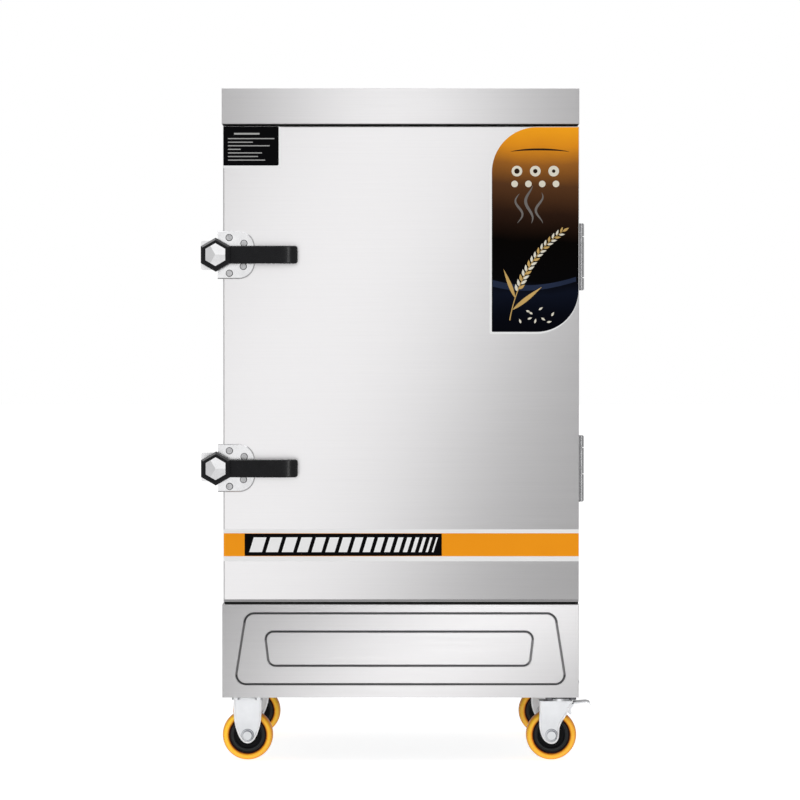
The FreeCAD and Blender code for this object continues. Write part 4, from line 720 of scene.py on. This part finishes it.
# two rows of plain round spots and a rule under the warm top
spots = []
for row, (n, z, r) in enumerate(((3, 1164, 10.5), (4, 1139, 6.5))):
    for k in range(n):
        cx = 264 + (k - (n - 1) / 2) * (36 if n == 3 else 27)
        spots.append(arc(cx, z, r, 0, 360 - 15, 23))
film("poster_spots", spots, DOOR_Y - 0.22, 0.05, V_CREAM.m)
marks = []
for k in range(3):
    cx = 264 + (k - 1) * 36
    marks.append(arc(cx, 1164, 5.2 - k * 0.9, 0, 345, 23))
film("poster_marks", marks, DOOR_Y - 0.27, 0.05, V_DARK.m)
top_rule = bez((216, 1202), (240, 1208), (300, 1208), (330, 1202), 20)
film("poster_rule", [ribbon(top_rule, [0.5 + 3.4 * math.sin(math.pi * k / 20) for k in range(21)])], DOOR_Y - 0.22, 0.05, V_DARK.m)


# ---------------------------------------------------------------- fork rims with a painted highlight, drip seal also standing in for gap shade
def smooth(ob, angle=40):
    for p in ob.data.polygons:
        p.use_smooth = True
    bm = bmesh.new()
    bm.from_mesh(ob.data)
    bmesh.ops.recalc_face_normals(bm, faces=bm.faces)
    for e in bm.edges:
        e.smooth = not (len(e.link_faces) == 2 and e.calc_face_angle(0) > math.radians(angle))
    bm.to_mesh(ob.data)
    bm.free()
    return ob


def inset(points, d):
    """Moves an open outline of (x, z) inwards, to its right going along it."""
    out = []
    n = len(points)
    for i, p in enumerate(points):
        a, b = points[max(0, i - 1)], points[min(n - 1, i + 1)]
        t = Vector((b[0] - a[0], b[1] - a[1])).normalized()
        out.append((p[0] - t.y * d, p[1] + t.x * d))
    return out


RIGID = [(-27.6, 72.5), (-27.4, 42.0), (-24.8, 20.0), (-19.4, 3.0), (-10.6, -11.5), (0.0, -16.2), (10.6, -11.5), (19.4, 3.0), (24.8, 20.0), (27.4, 42.0), (27.6, 72.5)]
SWIVEL = [(-23.8, 66.5), (-23.8, 40.0), (-23.8, 16.2), (-21.6, 5.0), (-16.4, -7.1), (-9.0, -14.4), (0.0, -17.2), (9.0, -14.4), (14.4, -5.1),
          (15.4, 6.1), (16.6, 16.2), (21.4, 27.6), (30.0, 40.5), (36.0, 52.0), (40.2, 62.0)]


def rim_lines(outline, cx, yc):
    smooth_pts = [(p.x, p.y) for p in catmull([(a, b, 0) for a, b in outline], 7)]
    flat = inset(smooth_pts, 2.0)
    return [[P(cx + a, yc + s * 21.0, 50.0 + b) for a, b in flat] for s in (-1, 1)]


def rims(name, specs, body):
    lines = []
    for outline, cx, yc in specs:
        lines += rim_lines(outline, cx, yc)
    v, f = tube_mesh(lines, 0.0015, 8)
    return smooth(new_object(name, v, f, MATS["rim_zinc_painted_highlight"].m, body), 60)


rims("rigid_fork_rims", [(RIGID, -303.0, -220.0), (RIGID, -303.0, 220.0)], "cabinet")
rims("swivel_fork_front_rims", [(SWIVEL, 299.0, -220.0)], "swivel_front")
rims("swivel_fork_rear_rims", [(SWIVEL, 299.0, 220.0)], "swivel_rear")


def long_strip(name, prof, x0, x1, mat, body):
    """Strip of constant section along x; prof is (y, z) in mm."""
    verts, faces = [], []
    for x in (x0, x1):
        verts += [P(x, y, z) for y, z in prof]
    n = len(prof)
    for i in range(n):
        j = (i + 1) % n
        faces.append((i, j, n + j, n + i))
    faces.append(tuple(range(n))[::-1])
    faces.append(tuple(range(n, 2 * n)))
    return smooth(new_object(name, verts, faces, mat, body), 40)


# rubber lip under the top band, over the door's upper edge; its black also stands in for the shade in the gap there
long_strip("drip_seal", [(-297.0, 1255.9), (-297.0, 1254.6), (-294.5, 1253.7), (-291.0, 1253.5), (-288.0, 1254.2), (-252.0, 1254.4), (-251.5, 1255.9)],
           -348.6, 348.6, MATS["black_rubber"].m, "cabinet")
# folded hem along the door's lower edge
long_strip("door_hem", [(-297.7, 322.4), (-297.9, 320.6), (-297.5, 319.6), (-296.6, 319.1), (-294.6, 319.1), (-293.7, 319.6), (-293.3, 320.6), (-293.3, 322.4)],
           -346.6, 349.6, MATS["door_steel"].m, "door")
for o in bpy.data.objects:
    if o.name.endswith("_rims"):
        for light in (s_l, s_r, s_k, f_f):
            light.light_linking.receiver_collection.objects.link(o)


# a raised pointer line on the knob's face
kn = nodes["timer_knob"]
corners = [kn.matrix_world @ Vector(c) for c in kn.bound_box]
kx, kz = (min(c.x for c in corners) + max(c.x for c in corners)) / 2, (min(c.z for c in corners) + max(c.z for c in corners)) / 2
ky, kr = max(c.y for c in corners), (max(c.x for c in corners) - min(c.x for c in corners)) / 2
box_v = [Vector((kx + a, ky + b, kz + c)) for a in (-0.0009, 0.0009) for b in (-0.0002, 0.00015) for c in (kr * 0.3, kr * 0.82)]
new_object("knob_pointer", box_v, [(0, 1, 3, 2), (4, 6, 7, 5), (0, 4, 5, 1), (2, 3, 7, 6), (0, 2, 6, 4), (1, 5, 7, 3)], V_WHITE.m, "knob")


# ---------------------------------------------------------------- floor
def make_floor():
    me = bpy.data.meshes.new("floor")
    s = 30.0
    me.from_pydata([(-s, -s, 0), (s, -s, 0), (s, s, 0), (-s, s, 0)], [], [(0, 1, 2, 3)])
    ob = bpy.data.objects.new("floor", me)
    scene.collection.objects.link(ob)
    m = bpy.data.materials.new("floor")
    m.use_nodes = True
    nt = m.node_tree
    b = nt.nodes["Principled BSDF"]
    noise = nt.nodes.new("ShaderNodeTexNoise")
    noise.inputs["Scale"].default_value = 3.0
    ramp = nt.nodes.new("ShaderNodeMapRange")
    ramp.inputs["To Min"].default_value = 0.86
    ramp.inputs["To Max"].default_value = 0.9
    nt.links.new(noise.outputs[0], ramp.inputs[0])
    nt.links.new(ramp.outputs[0], b.inputs["Base Color"])
    b.inputs["Roughness"].default_value = 0.6
    b.inputs["Specular IOR Level"].default_value = 0.2
    b.inputs["Emission Color"].default_value = (1, 1, 1, 1)
    b.inputs["Emission Strength"].default_value = 0.78
    me.materials.append(m)
    ob.visible_glossy = False


make_floor()
